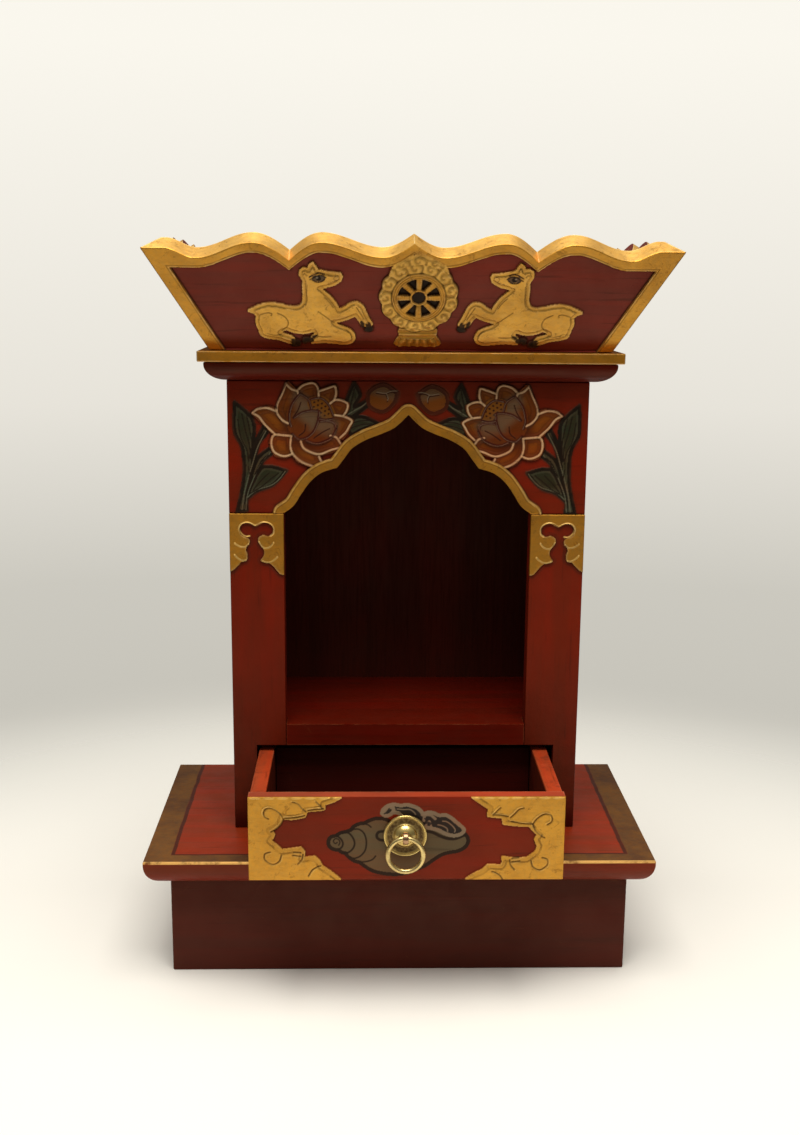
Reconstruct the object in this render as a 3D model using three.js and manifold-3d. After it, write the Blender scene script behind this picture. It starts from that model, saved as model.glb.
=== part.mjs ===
// Household altar cabinet: a small carved and painted wooden shrine. Millimetres, +Z up.
// X runs to the cabinet's right as the viewer sees it, and the front looks along -Y.
// The origin is the middle of the plinth's underside. Inside the main group, y = 0 is the
// front plane of the body, and every piece that touches another keeps a gap of 0.3 mm.
import * as THREE from 'three';
import { mergeVertices } from 'three/addons/utils/BufferGeometryUtils.js';
import Module from 'manifold-3d';

const wasm = await Module();
wasm.setup();

// ---------------------------------------------------------------- driving dimensions
const gap = 0.3;
const plinth = { halfWidth: 123.5, front: -32.5, back: 97, height: 54, board: 12, floorBoard: 8 };
const slab = { halfWidth: 136, front: -45, back: 99, bottom: 54, top: 69, lip: 2, tuck: 12 };
const body = { shift: 3.4, halfWidth: 95, depth: 97, top: 318.5, frontBoard: 11, sideBoard: 11, backBoard: 7.5 };
const niche = { halfWidth: 66, floor: 130, shelf: 12, springing: 248 };
const bay = { halfWidth: 82.3, top: 118 };
const drawer = { shift: 2.4, halfWidth: 80.5, top: 114.5, bottom: 69.6, pulledOut: 68, length: 86 };
const drawerBoard = { front: 8, side: 8.7, back: 8, bottom: 5, bottomLift: 2 };
const moulding = { shift: 4.4, halfWidth: 106.5, front: -11.5, top: 328.5, lip: 1 };
const strip = { halfWidth: 109.5, front: -14.5, top: 334 };
const crown = { halfWidth: 103.5, front: -8.5, flare: 29, rise: 50, board: 10.5, back: 97 };
const carving = { field: 1.5, band: 1.6, collar: 1.3, leaf: 0.7, petal: 0.9, layer: 0.1, root: 0.6 };
const archBandWidth = 5.4;
const scallop = { shift: 1.5, band: 5.4, sideBand: 7.8 };
const pull = { x: -0.8, z: 94.4, rosette: 11, plate: 1.2, pin: 1.4, ringZ: 96, ringOut: 8.2 };
const ring = { radius: 8.9, wire: 1.3 };
const eye = { hole: 1.65, outer: 3.1, width: 2.8 };

// ---------------------------------------------------------------- materials
const finish = (color, roughness, metalness = 0) => ({ color, roughness, metalness });
const finishes = {
  redPaint: finish(0x6e2418, 0.55),
  mouldingPaint: finish(0x54231b, 0.5),
  gold: finish(0xc08a2e, 0.42, 0.6),
  plinthPaint: finish(0x4d2118, 0.5),
  innerWood: finish(0x3a1a12, 0.7),
  drawerWood: finish(0xa8482a, 0.6),
  brass: finish(0xb08c3a, 0.25, 1),
};

// ---------------------------------------------------------------- helpers
function toSolid(geometry) {
  const plain = geometry.index ? geometry.toNonIndexed() : geometry;
  plain.deleteAttribute('normal');
  plain.deleteAttribute('uv');
  const merged = mergeVertices(plain, 1e-4);
  return new wasm.Manifold(new wasm.Mesh({
    numProp: 3,
    vertProperties: new Float32Array(merged.attributes.position.array),
    triVerts: new Uint32Array(merged.index.array),
  }));
}

function toGeometry(solid) {
  const { vertProperties, triVerts } = solid.getMesh();
  const geometry = new THREE.BufferGeometry();
  geometry.setAttribute('position', new THREE.BufferAttribute(vertProperties, 3));
  geometry.setIndex(new THREE.BufferAttribute(triVerts, 1));
  return geometry;
}

function piece(name, solid, look) {
  const material = new THREE.MeshStandardMaterial(finishes[look]);
  const mesh = new THREE.Mesh(toGeometry(solid), material);
  mesh.name = name;
  return mesh;
}

// A block between two corners.
function block([x0, x1], [y0, y1], [z0, z1]) {
  const box = new THREE.BoxGeometry(x1 - x0, y1 - y0, z1 - z0);
  return toSolid(box.translate((x0 + x1) / 2, (y0 + y1) / 2, (z0 + z1) / 2));
}

// An outline in the x-z plane, given as points, carried from y = front to y = back.
function board(points, front, back) {
  const shape = new THREE.Shape(points.map(([x, z]) => new THREE.Vector2(x, z)));
  const prism = new THREE.ExtrudeGeometry(shape, { depth: back - front, bevelEnabled: false });
  return toSolid(prism.rotateX(Math.PI / 2).translate(0, back, 0));
}

// A profile in the y-z plane carried from x = left to x = right.
function rail(points, left, right) {
  const shape = new THREE.Shape(points.map(([y, z]) => new THREE.Vector2(y, z)));
  const prism = new THREE.ExtrudeGeometry(shape, { depth: right - left, bevelEnabled: false });
  return toSolid(prism.rotateX(Math.PI / 2).rotateZ(Math.PI / 2).translate(left, 0, 0));
}

// A curve through a few points, sampled evenly between them.
function through(points, steps = 3) {
  const curve = new THREE.SplineCurve(points.map(([x, z]) => new THREE.Vector2(x, z)));
  return curve.getPoints(steps * (points.length - 1)).map((p) => [p.x, p.y]);
}

// A closed outline made of smooth strokes that meet at sharp corners.
function outline(strokes, steps = 3) {
  return strokes.flatMap((stroke) => through(stroke, steps).slice(0, -1));
}

const mirror = (points, shiftX = 0, shiftZ = 0) => points.map(([x, z]) => [shiftX - x, z + shiftZ]);
const join = (solids) => solids.reduce((all, solid) => all.add(solid));
const arc = (cx, cz, r, from, to, steps) => Array.from({ length: steps + 1 }, (_, i) => {
  const angle = from + (to - from) * i / steps;
  return [cx + r * Math.cos(angle), cz + r * Math.sin(angle)];
});
const circle = (cx, cz, r, steps = 16) => arc(cx, cz, r, 0, 2 * Math.PI * (1 - 1 / steps), steps - 1);

// ---------------------------------------------------------------- plinth and slab
function plinthBoards() {
  const { halfWidth, front, back, height, board: thick, floorBoard } = plinth;
  const top = height - gap;
  const inner = halfWidth - thick - gap;
  const between = [front + thick + gap, back - thick - gap];
  return [
    piece('plinth_front', block([-halfWidth, halfWidth], [front, front + thick], [0, top]), 'plinthPaint'),
    piece('plinth_back', block([-halfWidth, halfWidth], [back - thick, back], [0, top]), 'plinthPaint'),
    piece('plinth_left', block([-halfWidth, -inner - gap], between, [0, top]), 'plinthPaint'),
    piece('plinth_right', block([inner + gap, halfWidth], between, [0, top]), 'plinthPaint'),
    piece('plinth_floor', block([-inner, inner], between, [0, floorBoard]), 'innerWood'),
  ];
}

// The edge of a slab: an upright lip, and below it a quarter ellipse tucking under.
function edgeProfile(edge, inward, bottom, top, lip, tuck, steps = 5) {
  const fall = top - lip - bottom;
  const under = Array.from({ length: steps + 1 }, (_, i) => {
    const angle = (Math.PI / 2) * (i / steps);
    return [edge + inward * tuck * (1 - Math.cos(angle)), top - lip - fall * Math.sin(angle)];
  });
  return [[edge, top], ...under];
}

// A board whose front and two ends have that edge; its back is cut straight.
function edgedBoard(halfWidth, front, back, bottom, top, lip, tuck) {
  const frontEdge = edgeProfile(front, 1, bottom, top, lip, tuck);
  const along = rail([...frontEdge, [back, bottom], [back, top]], -halfWidth, halfWidth);
  const right = edgeProfile(halfWidth, -1, bottom, top, lip, tuck);
  const across = board([...right, ...mirror(right).reverse()], front, back);
  return along.intersect(across);
}

// ---------------------------------------------------------------- carved arch
// Half of the ogee arch, from the springing to the corner and on to the point.
const archStrokes = [
  [[66, 248.15], [60.5, 252.3], [56.5, 258.5], [51.5, 265.3], [45.5, 270], [37.5, 272.6]],
  [[37.5, 272.6], [34, 277.2], [29.5, 283], [22.5, 287.4], [14, 290.8], [7, 294.2], [0, 300.8]],
];

function archCurve() {
  const half = outline(archStrokes, 3);
  return [...half, [0, 300.8], ...mirror(half).reverse()];
}

// The same curve moved outwards by a distance, with mitred corners.
function offset(points, distance) {
  const normal = ([x0, z0], [x1, z1]) => {
    const length = Math.hypot(x1 - x0, z1 - z0);
    return [(z1 - z0) / length, (x0 - x1) / length];
  };
  return points.map((point, i) => {
    const before = normal(points[Math.max(i - 1, 0)], points[Math.max(i, 1)]);
    const last = points.length - 1;
    const after = normal(points[Math.min(i, last - 1)], points[Math.min(i + 1, last)]);
    const reach = distance / (1 + before[0] * after[0] + before[1] * after[1]);
    return [point[0] + (before[0] + after[0]) * reach, point[1] + (before[1] + after[1]) * reach];
  });
}

// ---------------------------------------------------------------- lotus flowers and leaves
// The left-hand spray. Each petal is a few strokes that meet at its corners, back to front.
const outerPetals = [
  [[[-58, 307], [-58, 313.8]], [[-58, 313.8], [-55, 315.9], [-50.3, 317], [-47.9, 315], [-46.8, 307]]],
  [[[-47, 307], [-46.3, 313]], [[-46.3, 313], [-42, 314.7], [-38.4, 315.4]], [[-38.4, 315.4], [-38, 311], [-40, 306]]],
  [[[-43, 305], [-38.5, 308.2], [-31.8, 306.4]], [[-31.8, 306.4], [-32.4, 303], [-36, 298]]],
  [[[-41, 300], [-35, 300.3], [-29.6, 297.4]], [[-29.6, 297.4], [-33, 290.8], [-36, 288.2], [-41, 289.7]]],
  [[[-61.8, 289.4], [-70.5, 290.2]], [[-70.5, 290.2], [-72.3, 285.5], [-69.8, 279.6], [-65, 278.6], [-61.2, 279.8]]],
  [[[-55, 289], [-61.8, 289], [-62.6, 284.5], [-58.5, 277], [-50.5, 273.4]], [[-50.5, 273.4], [-46.4, 275.8], [-49, 283]]],
  [[[-50, 290], [-56.7, 286.6], [-53, 281.4], [-47.5, 279.8], [-35.7, 283]], [[-35.7, 283], [-37.6, 288.2], [-42, 290]]],
  [[[-61.5, 289.2], [-70, 290.3], [-75, 295.4], [-81.4, 301.3]], [[-81.4, 301.3], [-73, 304], [-67, 301], [-60, 296]]],
  [[[-62.8, 316.9], [-66.6, 309], [-68, 303], [-65.3, 296.9], [-62, 296]], [[-62, 296], [-55, 305], [-58, 312.6]]],
];
const innerPetals = [
  [[[-58.3, 311.7], [-62.6, 302], [-62.4, 294], [-59, 289]], [[-59, 289], [-50, 303], [-52.5, 307.6], [-58.3, 311.7]]],
  [[[-57.5, 288], [-61.3, 293.5], [-55, 302.3], [-47.3, 300.8]], [[-47.3, 300.8], [-50.3, 291.3], [-57.5, 288]]],
  [[[-47, 297], [-42.5, 297.2], [-38.4, 295.6]], [[-38.4, 295.6], [-41.2, 288.8], [-47, 285.9], [-54, 287.6]]],
  [[[-51.6, 303.5], [-51, 308.6], [-43.4, 308.7], [-39.2, 301]], [[-39.2, 301], [-46.8, 298], [-51.6, 303.5]]],
];
const leaves = [
  [[[-90.6, 249], [-87, 266], [-87.2, 282], [-91.3, 292], [-91, 306.8]], [[-91, 306.8], [-81.6, 297.5], [-81.8, 282.7],
    [-82.5, 270], [-85.4, 257], [-85.4, 249]]],
  [[[-85.6, 255.5], [-83, 263], [-76.5, 273], [-64.3, 271]], [[-64.3, 271], [-71.5, 263.4], [-80, 260], [-85.6, 255.5]]],
  [[[-83, 278], [-79.6, 287.5], [-76.2, 294]], [[-76.2, 294], [-74, 291.6], [-78.5, 285.6], [-81, 277]]],
  [[[-83, 268], [-79.4, 277.5], [-72.8, 283]], [[-72.8, 283], [-71.6, 280.4], [-77, 275.4], [-82, 264.5]]],
  [[[-34, 300], [-32.2, 309], [-28.6, 317.6]], [[-28.6, 317.6], [-25.4, 311], [-28.4, 305], [-21.4, 308.4]],
    [[-21.4, 308.4], [-21.6, 305.4], [-30.5, 299]]],
  [[[-32, 293], [-28.4, 299], [-22.5, 299.2], [-15.5, 296]], [[-15.5, 296], [-25, 292.6], [-29.6, 290.2], [-32, 293]]],
  [[[-6, 312], [-13, 316.3], [-20.4, 312.6], [-20.6, 305.6], [-13.6, 302.4], [-7.8, 306.8], [-6, 312]]],
];
const rightSpray = { shiftX: -1, shiftZ: -0.8 };

// One spray as layers, each a little prouder than the one before it.
function spray(place) {
  const layers = [
    ...leaves.map((strokes) => [strokes, carving.leaf]),
    ...outerPetals.map((strokes, i) => [strokes, carving.petal + carving.layer * (i % 3)]),
    ...innerPetals.map((strokes, i) => [strokes, carving.petal + carving.layer * (i + 2)]),
  ];
  return layers.map(([strokes, proud]) => board(place(outline(strokes)), -proud, carving.root));
}

function archBoard() {
  const { halfWidth, top, frontBoard } = body;
  const curve = archCurve();
  const bottom = niche.springing + gap / 2;
  const plank = board([...curve.slice().reverse(), [halfWidth, bottom], [halfWidth, top - gap],
    [-halfWidth, top - gap], [-halfWidth, bottom]].reverse(), 0, frontBoard);
  const edge = offset(curve, archBandWidth).filter(([, z]) => z > bottom);
  const band = board([...curve, ...edge.reverse()], -carving.band, carving.root);
  const left = spray((points) => points);
  const right = spray((points) => mirror(points, rightSpray.shiftX, rightSpray.shiftZ));
  return piece('arch_board', join([plank, band, ...left, ...right]), 'redPaint');
}

// ---------------------------------------------------------------- pillars with collars
// Half-height gold panel with a cloud-shaped opening; curls close in on the opening's neck.
function collar() {
  const top = niche.springing - gap / 2;
  const panel = board([[66, top], [66, 214], [68, 213.8], [72.6, 218.6], [74.5, 220.4], [89, 220.6], [91.6, 217.6],
    [95, 214.8], [95, top]].reverse(), -carving.collar, carving.root);
  const lobes = [circle(76.2, 240.2, 3.9, 14), circle(85.6, 239.6, 4, 14)];
  const neck = [[77.5, 218], [79.5, 231], [78.5, 236], [76, 243], [81.8, 241.4], [86, 242], [83.5, 236], [83, 231],
    [85.6, 218]];
  const curls = [circle(76, 233, 4.1, 14), circle(87.6, 232.6, 4.2, 14), circle(75.4, 225.4, 3.9, 14), circle(88, 226, 3.9, 14)];
  const opening = join([...lobes, neck.reverse()].map((points) => board(points, -4, 0)));
  const ends = join(curls.map((points) => board(points, -carving.collar, carving.root)));
  return panel.subtract(opening).add(ends);
}

function pillar(name, side) {
  const { halfWidth, frontBoard } = body;
  const { halfWidth: clear, springing, floor, shelf } = niche;
  const post = board([[clear, floor - shelf], [bay.halfWidth, bay.top], [bay.halfWidth, slab.top + gap],
    [halfWidth, slab.top + gap], [halfWidth, springing - gap / 2], [clear, springing - gap / 2]], 0, frontBoard);
  const carved = post.add(collar());
  return piece(name, side > 0 ? carved : carved.mirror([1, 0, 0]), 'redPaint');
}

// ---------------------------------------------------------------- body panels
function bodyPanels() {
  const { halfWidth, depth, top, frontBoard, sideBoard, backBoard } = body;
  const inner = halfWidth - sideBoard;
  const behind = frontBoard + gap;
  const upright = [slab.top + gap, top - gap];
  const shelfHeight = [niche.floor - niche.shelf, niche.floor];
  const tongue = niche.halfWidth - gap;
  const shelf = block([-inner + gap, inner - gap], [behind, depth - backBoard - gap], shelfHeight)
    .add(block([-tongue, tongue], [0, frontBoard + 2 * gap], shelfHeight));
  const back = block([-inner + gap, inner - gap], [depth - backBoard, depth], upright);
  return [
    piece('side_left', block([-halfWidth, -inner], [behind, depth], upright), 'redPaint'),
    piece('side_right', block([inner, halfWidth], [behind, depth], upright), 'redPaint'),
    piece('back_panel', back, 'innerWood'),
    piece('niche_shelf', shelf, 'redPaint'),
  ];
}

// ---------------------------------------------------------------- crown
// Height of the scalloped edge above the crown's foot, measured up the leaning board.
// Each stretch runs between two turning points and eases into those that are round.
const scallops = [
  { from: 0, to: 15.2, high: 61.2, low: 53.7, shape: (t) => 1 - Math.sin(Math.PI * t / 2) },
  { from: 15.2, to: 45, high: 61.5, low: 53.7, shape: (t) => (1 - Math.cos(Math.PI * t)) / 2 },
  { from: 45, to: 61, high: 61.5, low: 51.8, shape: (t) => Math.cos(Math.PI * t / 2) },
  { from: 61, to: 78.5, high: 61.2, low: 51.8, shape: (t) => Math.sin(Math.PI * t / 2) },
  { from: 78.5, to: 106.5, high: 61.2, low: 52.8, shape: (t) => (1 + Math.cos(Math.PI * t)) / 2 },
  { from: 106.5, to: 121, high: 58, low: 52.8, shape: (t) => (1 - Math.cos(Math.PI * t)) / 2 },
  { from: 121, to: 150, high: 58, low: 58, shape: () => 0 },
];
const sideEdge = { start: 61, middle: 38.25, sag: 2, sagReach: 45.5 };
const lean = Math.atan2(crown.flare, crown.rise);

function scallopHeight(x) {
  const run = scallops.find(({ to }) => Math.abs(x) <= to);
  return run.low + (run.high - run.low) * run.shape((Math.abs(x) - run.from) / (run.to - run.from));
}

// Places along an edge that begins, at its middle, `start` along the scallops: the turning points
// and a few more between them.
function scallopPlaces(reach, start, steps = 4) {
  const half = scallops.filter(({ to }) => to > start)
    .flatMap(({ from, to }) => Array.from({ length: steps }, (_, i) => from + (to - from) * i / steps));
  const places = half.map((x) => x - start).filter((x) => x < reach);
  return [...places.slice(1).reverse().map((x) => -x), ...places].concat(reach).concat(-reach).sort((a, b) => a - b);
}

// An outline in the board's own plane, carried from the depth `low` to the depth `high`.
function onBoard(points, low, high) {
  const shape = new THREE.Shape(points.map(([u, v]) => new THREE.Vector2(u, v)));
  return toSolid(new THREE.ExtrudeGeometry(shape, { depth: high - low, bevelEnabled: false }).translate(0, 0, low));
}

// The edge, let down by `drop`; a side's humps also sag a little below the front's.
const edgeLine = ({ reach, start, middle, sag, sagReach }, drop) => scallopPlaces(reach, start)
  .map((x) => [x + middle, scallopHeight(start + Math.abs(x)) - drop - sag * Math.max(0, 1 - (x / sagReach) ** 2)]);

// A capsule that tapers between two round ends, as an outline.
function capsule([x0, z0, r0], [x1, z1, r1]) {
  const along = Math.atan2(z1 - z0, x1 - x0);
  const spread = Math.acos((r0 - r1) / Math.hypot(x1 - x0, z1 - z0));
  return [
    ...arc(x0, z0, r0, along + spread, along + 2 * Math.PI - spread, 6),
    ...arc(x1, z1, r1, along - spread, along + spread, 6),
  ];
}
const limb = (joints) => joints.slice(1).map((joint, i) => capsule(joints[i], joint));

// The right-hand kneeling deer, head turned to the wheel: limbs as joints [across, up, radius].
const deer = [
  [[72.3, 21.8, 7], [61, 20.4, 8], [46.6, 23.4, 7.2]],
  [[48.4, 27, 6], [50, 36, 4.9], [50.6, 41.4, 4.3], [42, 42.2, 3.8]],
  [[52.6, 43, 2.2], [56.4, 47.6, 0.8]],
  [[50.6, 45, 2.2], [51, 49.6, 0.7]],
  [[76, 24, 2.6], [83.6, 28.2, 0.7]],
  [[43, 24, 3.9], [38, 23.6, 3], [28.8, 24.5, 2.4], [25.6, 17.5, 1.7], [24.6, 13.5, 2.2]],
  [[44.5, 17.5, 4.6], [36.9, 10.7, 3.7], [46.6, 6.9, 2.1], [53, 6.4, 2.3]],
  [[73.4, 17.4, 5.4], [77.1, 13.6, 2.8], [70, 10.9, 2.4], [64.5, 7.7, 1.9], [61, 6.7, 2.1]],
];

function deerRelief(side) {
  const outlines = deer.flatMap(limb).map((points) => points.map(([x, z]) => [x + scallop.shift, z]));
  const placed = side > 0 ? outlines : outlines.map((points) => mirror(points, 2 * scallop.shift).reverse());
  return placed.map((points) => onBoard(points, -carving.field - carving.root, 0.4));
}

// The eight-spoked wheel in a wreath of curls, on a pedestal and a flared lotus foot.
const wheel = { x: 2.8, z: 31.6, wreath: 18.9, curl: 0.9, curls: 13, rim: 12.7, open: 10.6, hub: 4.1, spoke: 1.15 };

function wheelRelief() {
  const { x, z, wreath, curl, curls, rim, open, hub, spoke } = wheel;
  const at = (points) => points.map(([u, v]) => [u + x, v + z]);
  const base = -carving.field - carving.root;
  const wave = Array.from({ length: curls * 6 }, (_, i) => {
    const angle = 2 * Math.PI * i / (curls * 6);
    const r = wreath + curl * Math.abs(Math.sin(curls * angle / 2));
    return [r * Math.cos(angle), r * Math.sin(angle)];
  });
  const crest = [[-14, 12], [14, 12], [11.5, 17.5], [6, 21.5], [0, 23.4], [-6, 21.5], [-11.5, 17.5]];
  const pedestal = [[-8.4, -21], [8.4, -21], [9, -17], [7.6, -12], [-7.6, -12], [-9, -17]];
  const foot = [[-11.2, -27.2], [-4, -28], [4, -28], [11.2, -27.2], [9.4, -22], [6.6, -18], [-6.6, -18], [-9.4, -22]];
  const bar = (angle) => [[hub - 1, -spoke], [open + 1, -spoke * 1.3], [open + 1, spoke * 1.3], [hub - 1, spoke]]
    .map(([r, s]) => [r * Math.cos(angle) - s * Math.sin(angle), r * Math.sin(angle) + s * Math.cos(angle)]);
  const spokes = Array.from({ length: 8 }, (_, i) => onBoard(at(bar(i * Math.PI / 4)), base, 0.3));
  const mass = join([wave, crest, pedestal, foot].map((points) => onBoard(at(points), base, 0)));
  const ringBand = onBoard(circle(x, z, rim, 32), base, 0.8);
  const well = onBoard(circle(x, z, open, 32), -carving.field + 0.3, 2);
  return mass.add(ringBand).subtract(well).add(join(spokes)).add(onBoard(circle(x, z, hub, 16), base, 0.5));
}

// One leaning board: its scalloped plank, the sunk field inside a raised border, and carving.
function leaningBoard(edge, ends, reliefs) {
  const { reach, middle } = edge;
  const { board: thick } = crown;
  const below = 12;
  const top = edgeLine(edge, 0);
  const plank = onBoard([[middle - reach, -below], [middle + reach, -below], ...top.reverse()], -thick, 0);
  const floorLine = edgeLine(edge, scallop.band).reverse();
  const sunk = onBoard([[middle - reach, -below], [middle + reach, -below], ...floorLine], -carving.field, 2);
  const field = sunk.intersect(onBoard(ends, -4, 4));
  return join([plank.subtract(field), ...reliefs]).rotate([90 + lean * 180 / Math.PI, 0, 0]);
}

const big = 400;

// Everything in front of the two mitres, which run at 45 degrees through the corners.
function mitreWedge(clearance) {
  const corner = crown.halfWidth + crown.front - clearance;
  return board([[0, corner], [-big, corner - big], [big, corner - big]], 0, big)
    .rotate([-90, 0, 0]).mirror([0, 0, 1]);
}

function crownBoards() {
  const tipReach = crown.halfWidth + crown.flare;
  const slope = crown.flare / Math.hypot(crown.flare, crown.rise);
  const rowEnd = (v) => crown.halfWidth + v * slope - scallop.sideBand;
  const frontEnds = [[-rowEnd(0), 0], [rowEnd(0), 0], [rowEnd(70), 70], [-rowEnd(70), 70]];
  const sideEnd = (v) => crown.front - v * slope + scallop.sideBand;
  const sideBack = crown.back - scallop.sideBand;
  const sideEnds = [[sideEnd(0), 0], [sideBack, 0], [sideBack, 70], [sideEnd(70), 70]];
  const frontReliefs = [...deerRelief(1), ...deerRelief(-1), wheelRelief()];
  const wedge = mitreWedge(gap / 2);
  const above = block([-big, big], [-big, crown.back], [gap, big]);
  const frontEdge = { reach: tipReach, start: 0, middle: 0, sag: 0, sagReach: 1 };
  const front = leaningBoard(frontEdge, frontEnds, frontReliefs)
    .translate([0, crown.front, 0]).intersect(wedge).intersect(above);
  const reach = sideEdge.middle - crown.front + crown.flare;
  const side = leaningBoard({ ...sideEdge, reach }, sideEnds, [])
    .translate([0, -crown.halfWidth, 0]).rotate([0, 0, 90]).subtract(mitreWedge(-gap / 2)).intersect(above);
  return [
    piece('crown_front', front, 'gold'),
    piece('crown_right', side, 'gold'),
    piece('crown_left', side.mirror([1, 0, 0]), 'gold'),
  ];
}

// ---------------------------------------------------------------- drawer and its ring pull
// One stepped scroll corner: three pennants along an edge, ending in a curl at mid height.
function cornerScroll(edgeZ, up) {
  const z = (height) => edgeZ + up * height;
  const half = drawer.halfWidth;
  return [[half, z(0)], [34.5, z(0)], [38, z(2.2)], [42, z(3.4)], [42.4, z(6.4)], [50.6, z(7.4)], [51.4, z(10.2)],
    [58, z(11.2)], [63, z(11.4)], [65.4, z(13.2)], [68.6, z(15.8)], [69.4, z(18)], [68.4, z(20)], [69.2, z(22.6)],
    [half, z(22.6)]];
}

function drawerPieces() {
  const { halfWidth, top, bottom, length } = drawer;
  const { front, side, back, bottom: base, bottomLift } = drawerBoard;
  const face = block([-halfWidth, halfWidth], [1, front], [bottom, top]);
  const corners = [[top, -1], [bottom, 1]].flatMap(([edge, up]) => {
    const right = cornerScroll(edge, up);
    return up > 0 ? [right.slice().reverse(), mirror(right)] : [right, mirror(right).reverse()];
  }).map((points) => board(points, 0, 1 + carving.root));
  const pinHole = toSolid(new THREE.CylinderGeometry(pull.pin + gap, pull.pin + gap, 40, 16)
    .translate(pull.x, 0, pull.z));
  const faceBoard = join([face, ...corners]).subtract(pinHole);
  const inner = halfWidth - side;
  const run = [front + gap, length];
  const floorTop = bottom + bottomLift + base;
  return [
    piece('drawer_front', faceBoard, 'redPaint'),
    piece('drawer_left', block([-halfWidth + 0.5, -inner], run, [bottom, top - 0.2]), 'drawerWood'),
    piece('drawer_right', block([inner, halfWidth - 0.5], run, [bottom, top - 0.2]), 'drawerWood'),
    piece('drawer_back', block([-inner + gap, inner - gap], [length - back, length], [bottom, top - 2]), 'drawerWood'),
    piece('drawer_bottom', block([-inner + gap, inner - gap], [front + gap, length - back - gap],
      [bottom + bottomLift, floorTop]), 'drawerWood'),
  ];
}

// Turned rosette: a flat plate, a raised rim, a dished field and a dome with a hole for the pin.
function rosette() {
  const { rosette: r, plate, pin } = pull;
  const hole = pin + gap;
  const profile = [[hole, 0], [r, 0], [r, plate], [r - 0.5, plate + 0.7], [r - 1.4, plate + 0.7], [r - 2, plate],
    [r - 4.6, plate - 0.3], [r - 5.6, plate + 0.9], [r - 6.6, plate + 2.3], [r - 8, plate + 3.2], [hole, plate + 3.5],
    [hole, 0]];
  const turned = new THREE.LatheGeometry(profile.map(([x, y]) => new THREE.Vector2(x, y)), 24);
  return toSolid(turned.rotateX(Math.PI));
}

// Split pin with an eye at its head; the eye's hole runs along X.
function pullPin() {
  const reach = pull.ringOut - eye.outer + 0.6;
  const shank = new THREE.CylinderGeometry(pull.pin, pull.pin, reach + drawerBoard.front, 14)
    .translate(0, (drawerBoard.front - reach) / 2, 0);
  const loop = new THREE.Shape(circle(0, 0, eye.outer, 20).map(([x, y]) => new THREE.Vector2(x, y)));
  loop.holes.push(new THREE.Path(circle(0, 0, eye.hole, 14).map(([x, y]) => new THREE.Vector2(x, y))));
  const head = new THREE.ExtrudeGeometry(loop, { depth: eye.width, bevelEnabled: false })
    .translate(0, 0, -eye.width / 2).rotateY(Math.PI / 2).translate(0, -pull.ringOut, pull.ringZ - pull.z);
  const hole = toSolid(new THREE.CylinderGeometry(eye.hole, eye.hole, 8, 14).rotateZ(Math.PI / 2)
    .translate(0, -pull.ringOut, pull.ringZ - pull.z));
  return toSolid(shank).add(toSolid(head)).subtract(hole);
}

function ringPull() {
  const loop = new THREE.TorusGeometry(ring.radius, ring.wire, 8, 28).rotateX(Math.PI / 2);
  return toSolid(loop.translate(0, 0, -ring.radius));
}

// ---------------------------------------------------------------- assembly
function place(pieces, x, y, z) {
  const group = new THREE.Group();
  group.add(...pieces);
  group.position.set(x, y, z);
  return group;
}

function pullPieces() {
  const hanging = place([piece('pull_ring', ringPull(), 'brass')], 0, -pull.ringOut, pull.ringZ - pull.z);
  const fixed = [piece('pull_rosette', rosette(), 'brass'), piece('pull_pin', pullPin(), 'brass')];
  return place([...fixed, hanging], pull.x, 0, pull.z);
}

const slabBoard = edgedBoard(slab.halfWidth, slab.front, slab.back, slab.bottom, slab.top, slab.lip, slab.tuck);
const mouldingTuck = moulding.halfWidth - body.halfWidth;
const mouldingBoard = edgedBoard(moulding.halfWidth, moulding.front, body.depth, body.top,
  moulding.top - gap, moulding.lip, mouldingTuck);
const stripBoard = block([-strip.halfWidth, strip.halfWidth], [strip.front, body.depth], [moulding.top, strip.top]);

const cabinet = new THREE.Group();
cabinet.add(
  ...plinthBoards(),
  piece('slab', slabBoard, 'redPaint'),
  place([pillar('pillar_left', -1), pillar('pillar_right', 1), archBoard(), ...bodyPanels()], body.shift, 0, 0),
  place([piece('moulding', mouldingBoard, 'mouldingPaint'), piece('gold_strip', stripBoard, 'gold')], moulding.shift, 0, 0),
  place(crownBoards(), moulding.shift, 0, strip.top),
  place([...drawerPieces(), pullPieces()], drawer.shift, -drawer.pulledOut, 0),
);
cabinet.position.y = -(plinth.front + plinth.back) / 2;

const altarCabinet = new THREE.Group();
altarCabinet.add(cabinet);
export default altarCabinet;
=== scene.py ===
"""A household altar cabinet, finished in paint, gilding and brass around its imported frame.

Lengths are in millimetres until a mesh is made, in the frame's own axes: X to the right,
Y away from the viewer and Z up. A carved face is a grid of places with a height, a coat of
paint and some dirt at each place, and a board is closed behind that face.
"""
import math

import bmesh
import bpy
import numpy as np
from mathutils import Matrix, Vector


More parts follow.
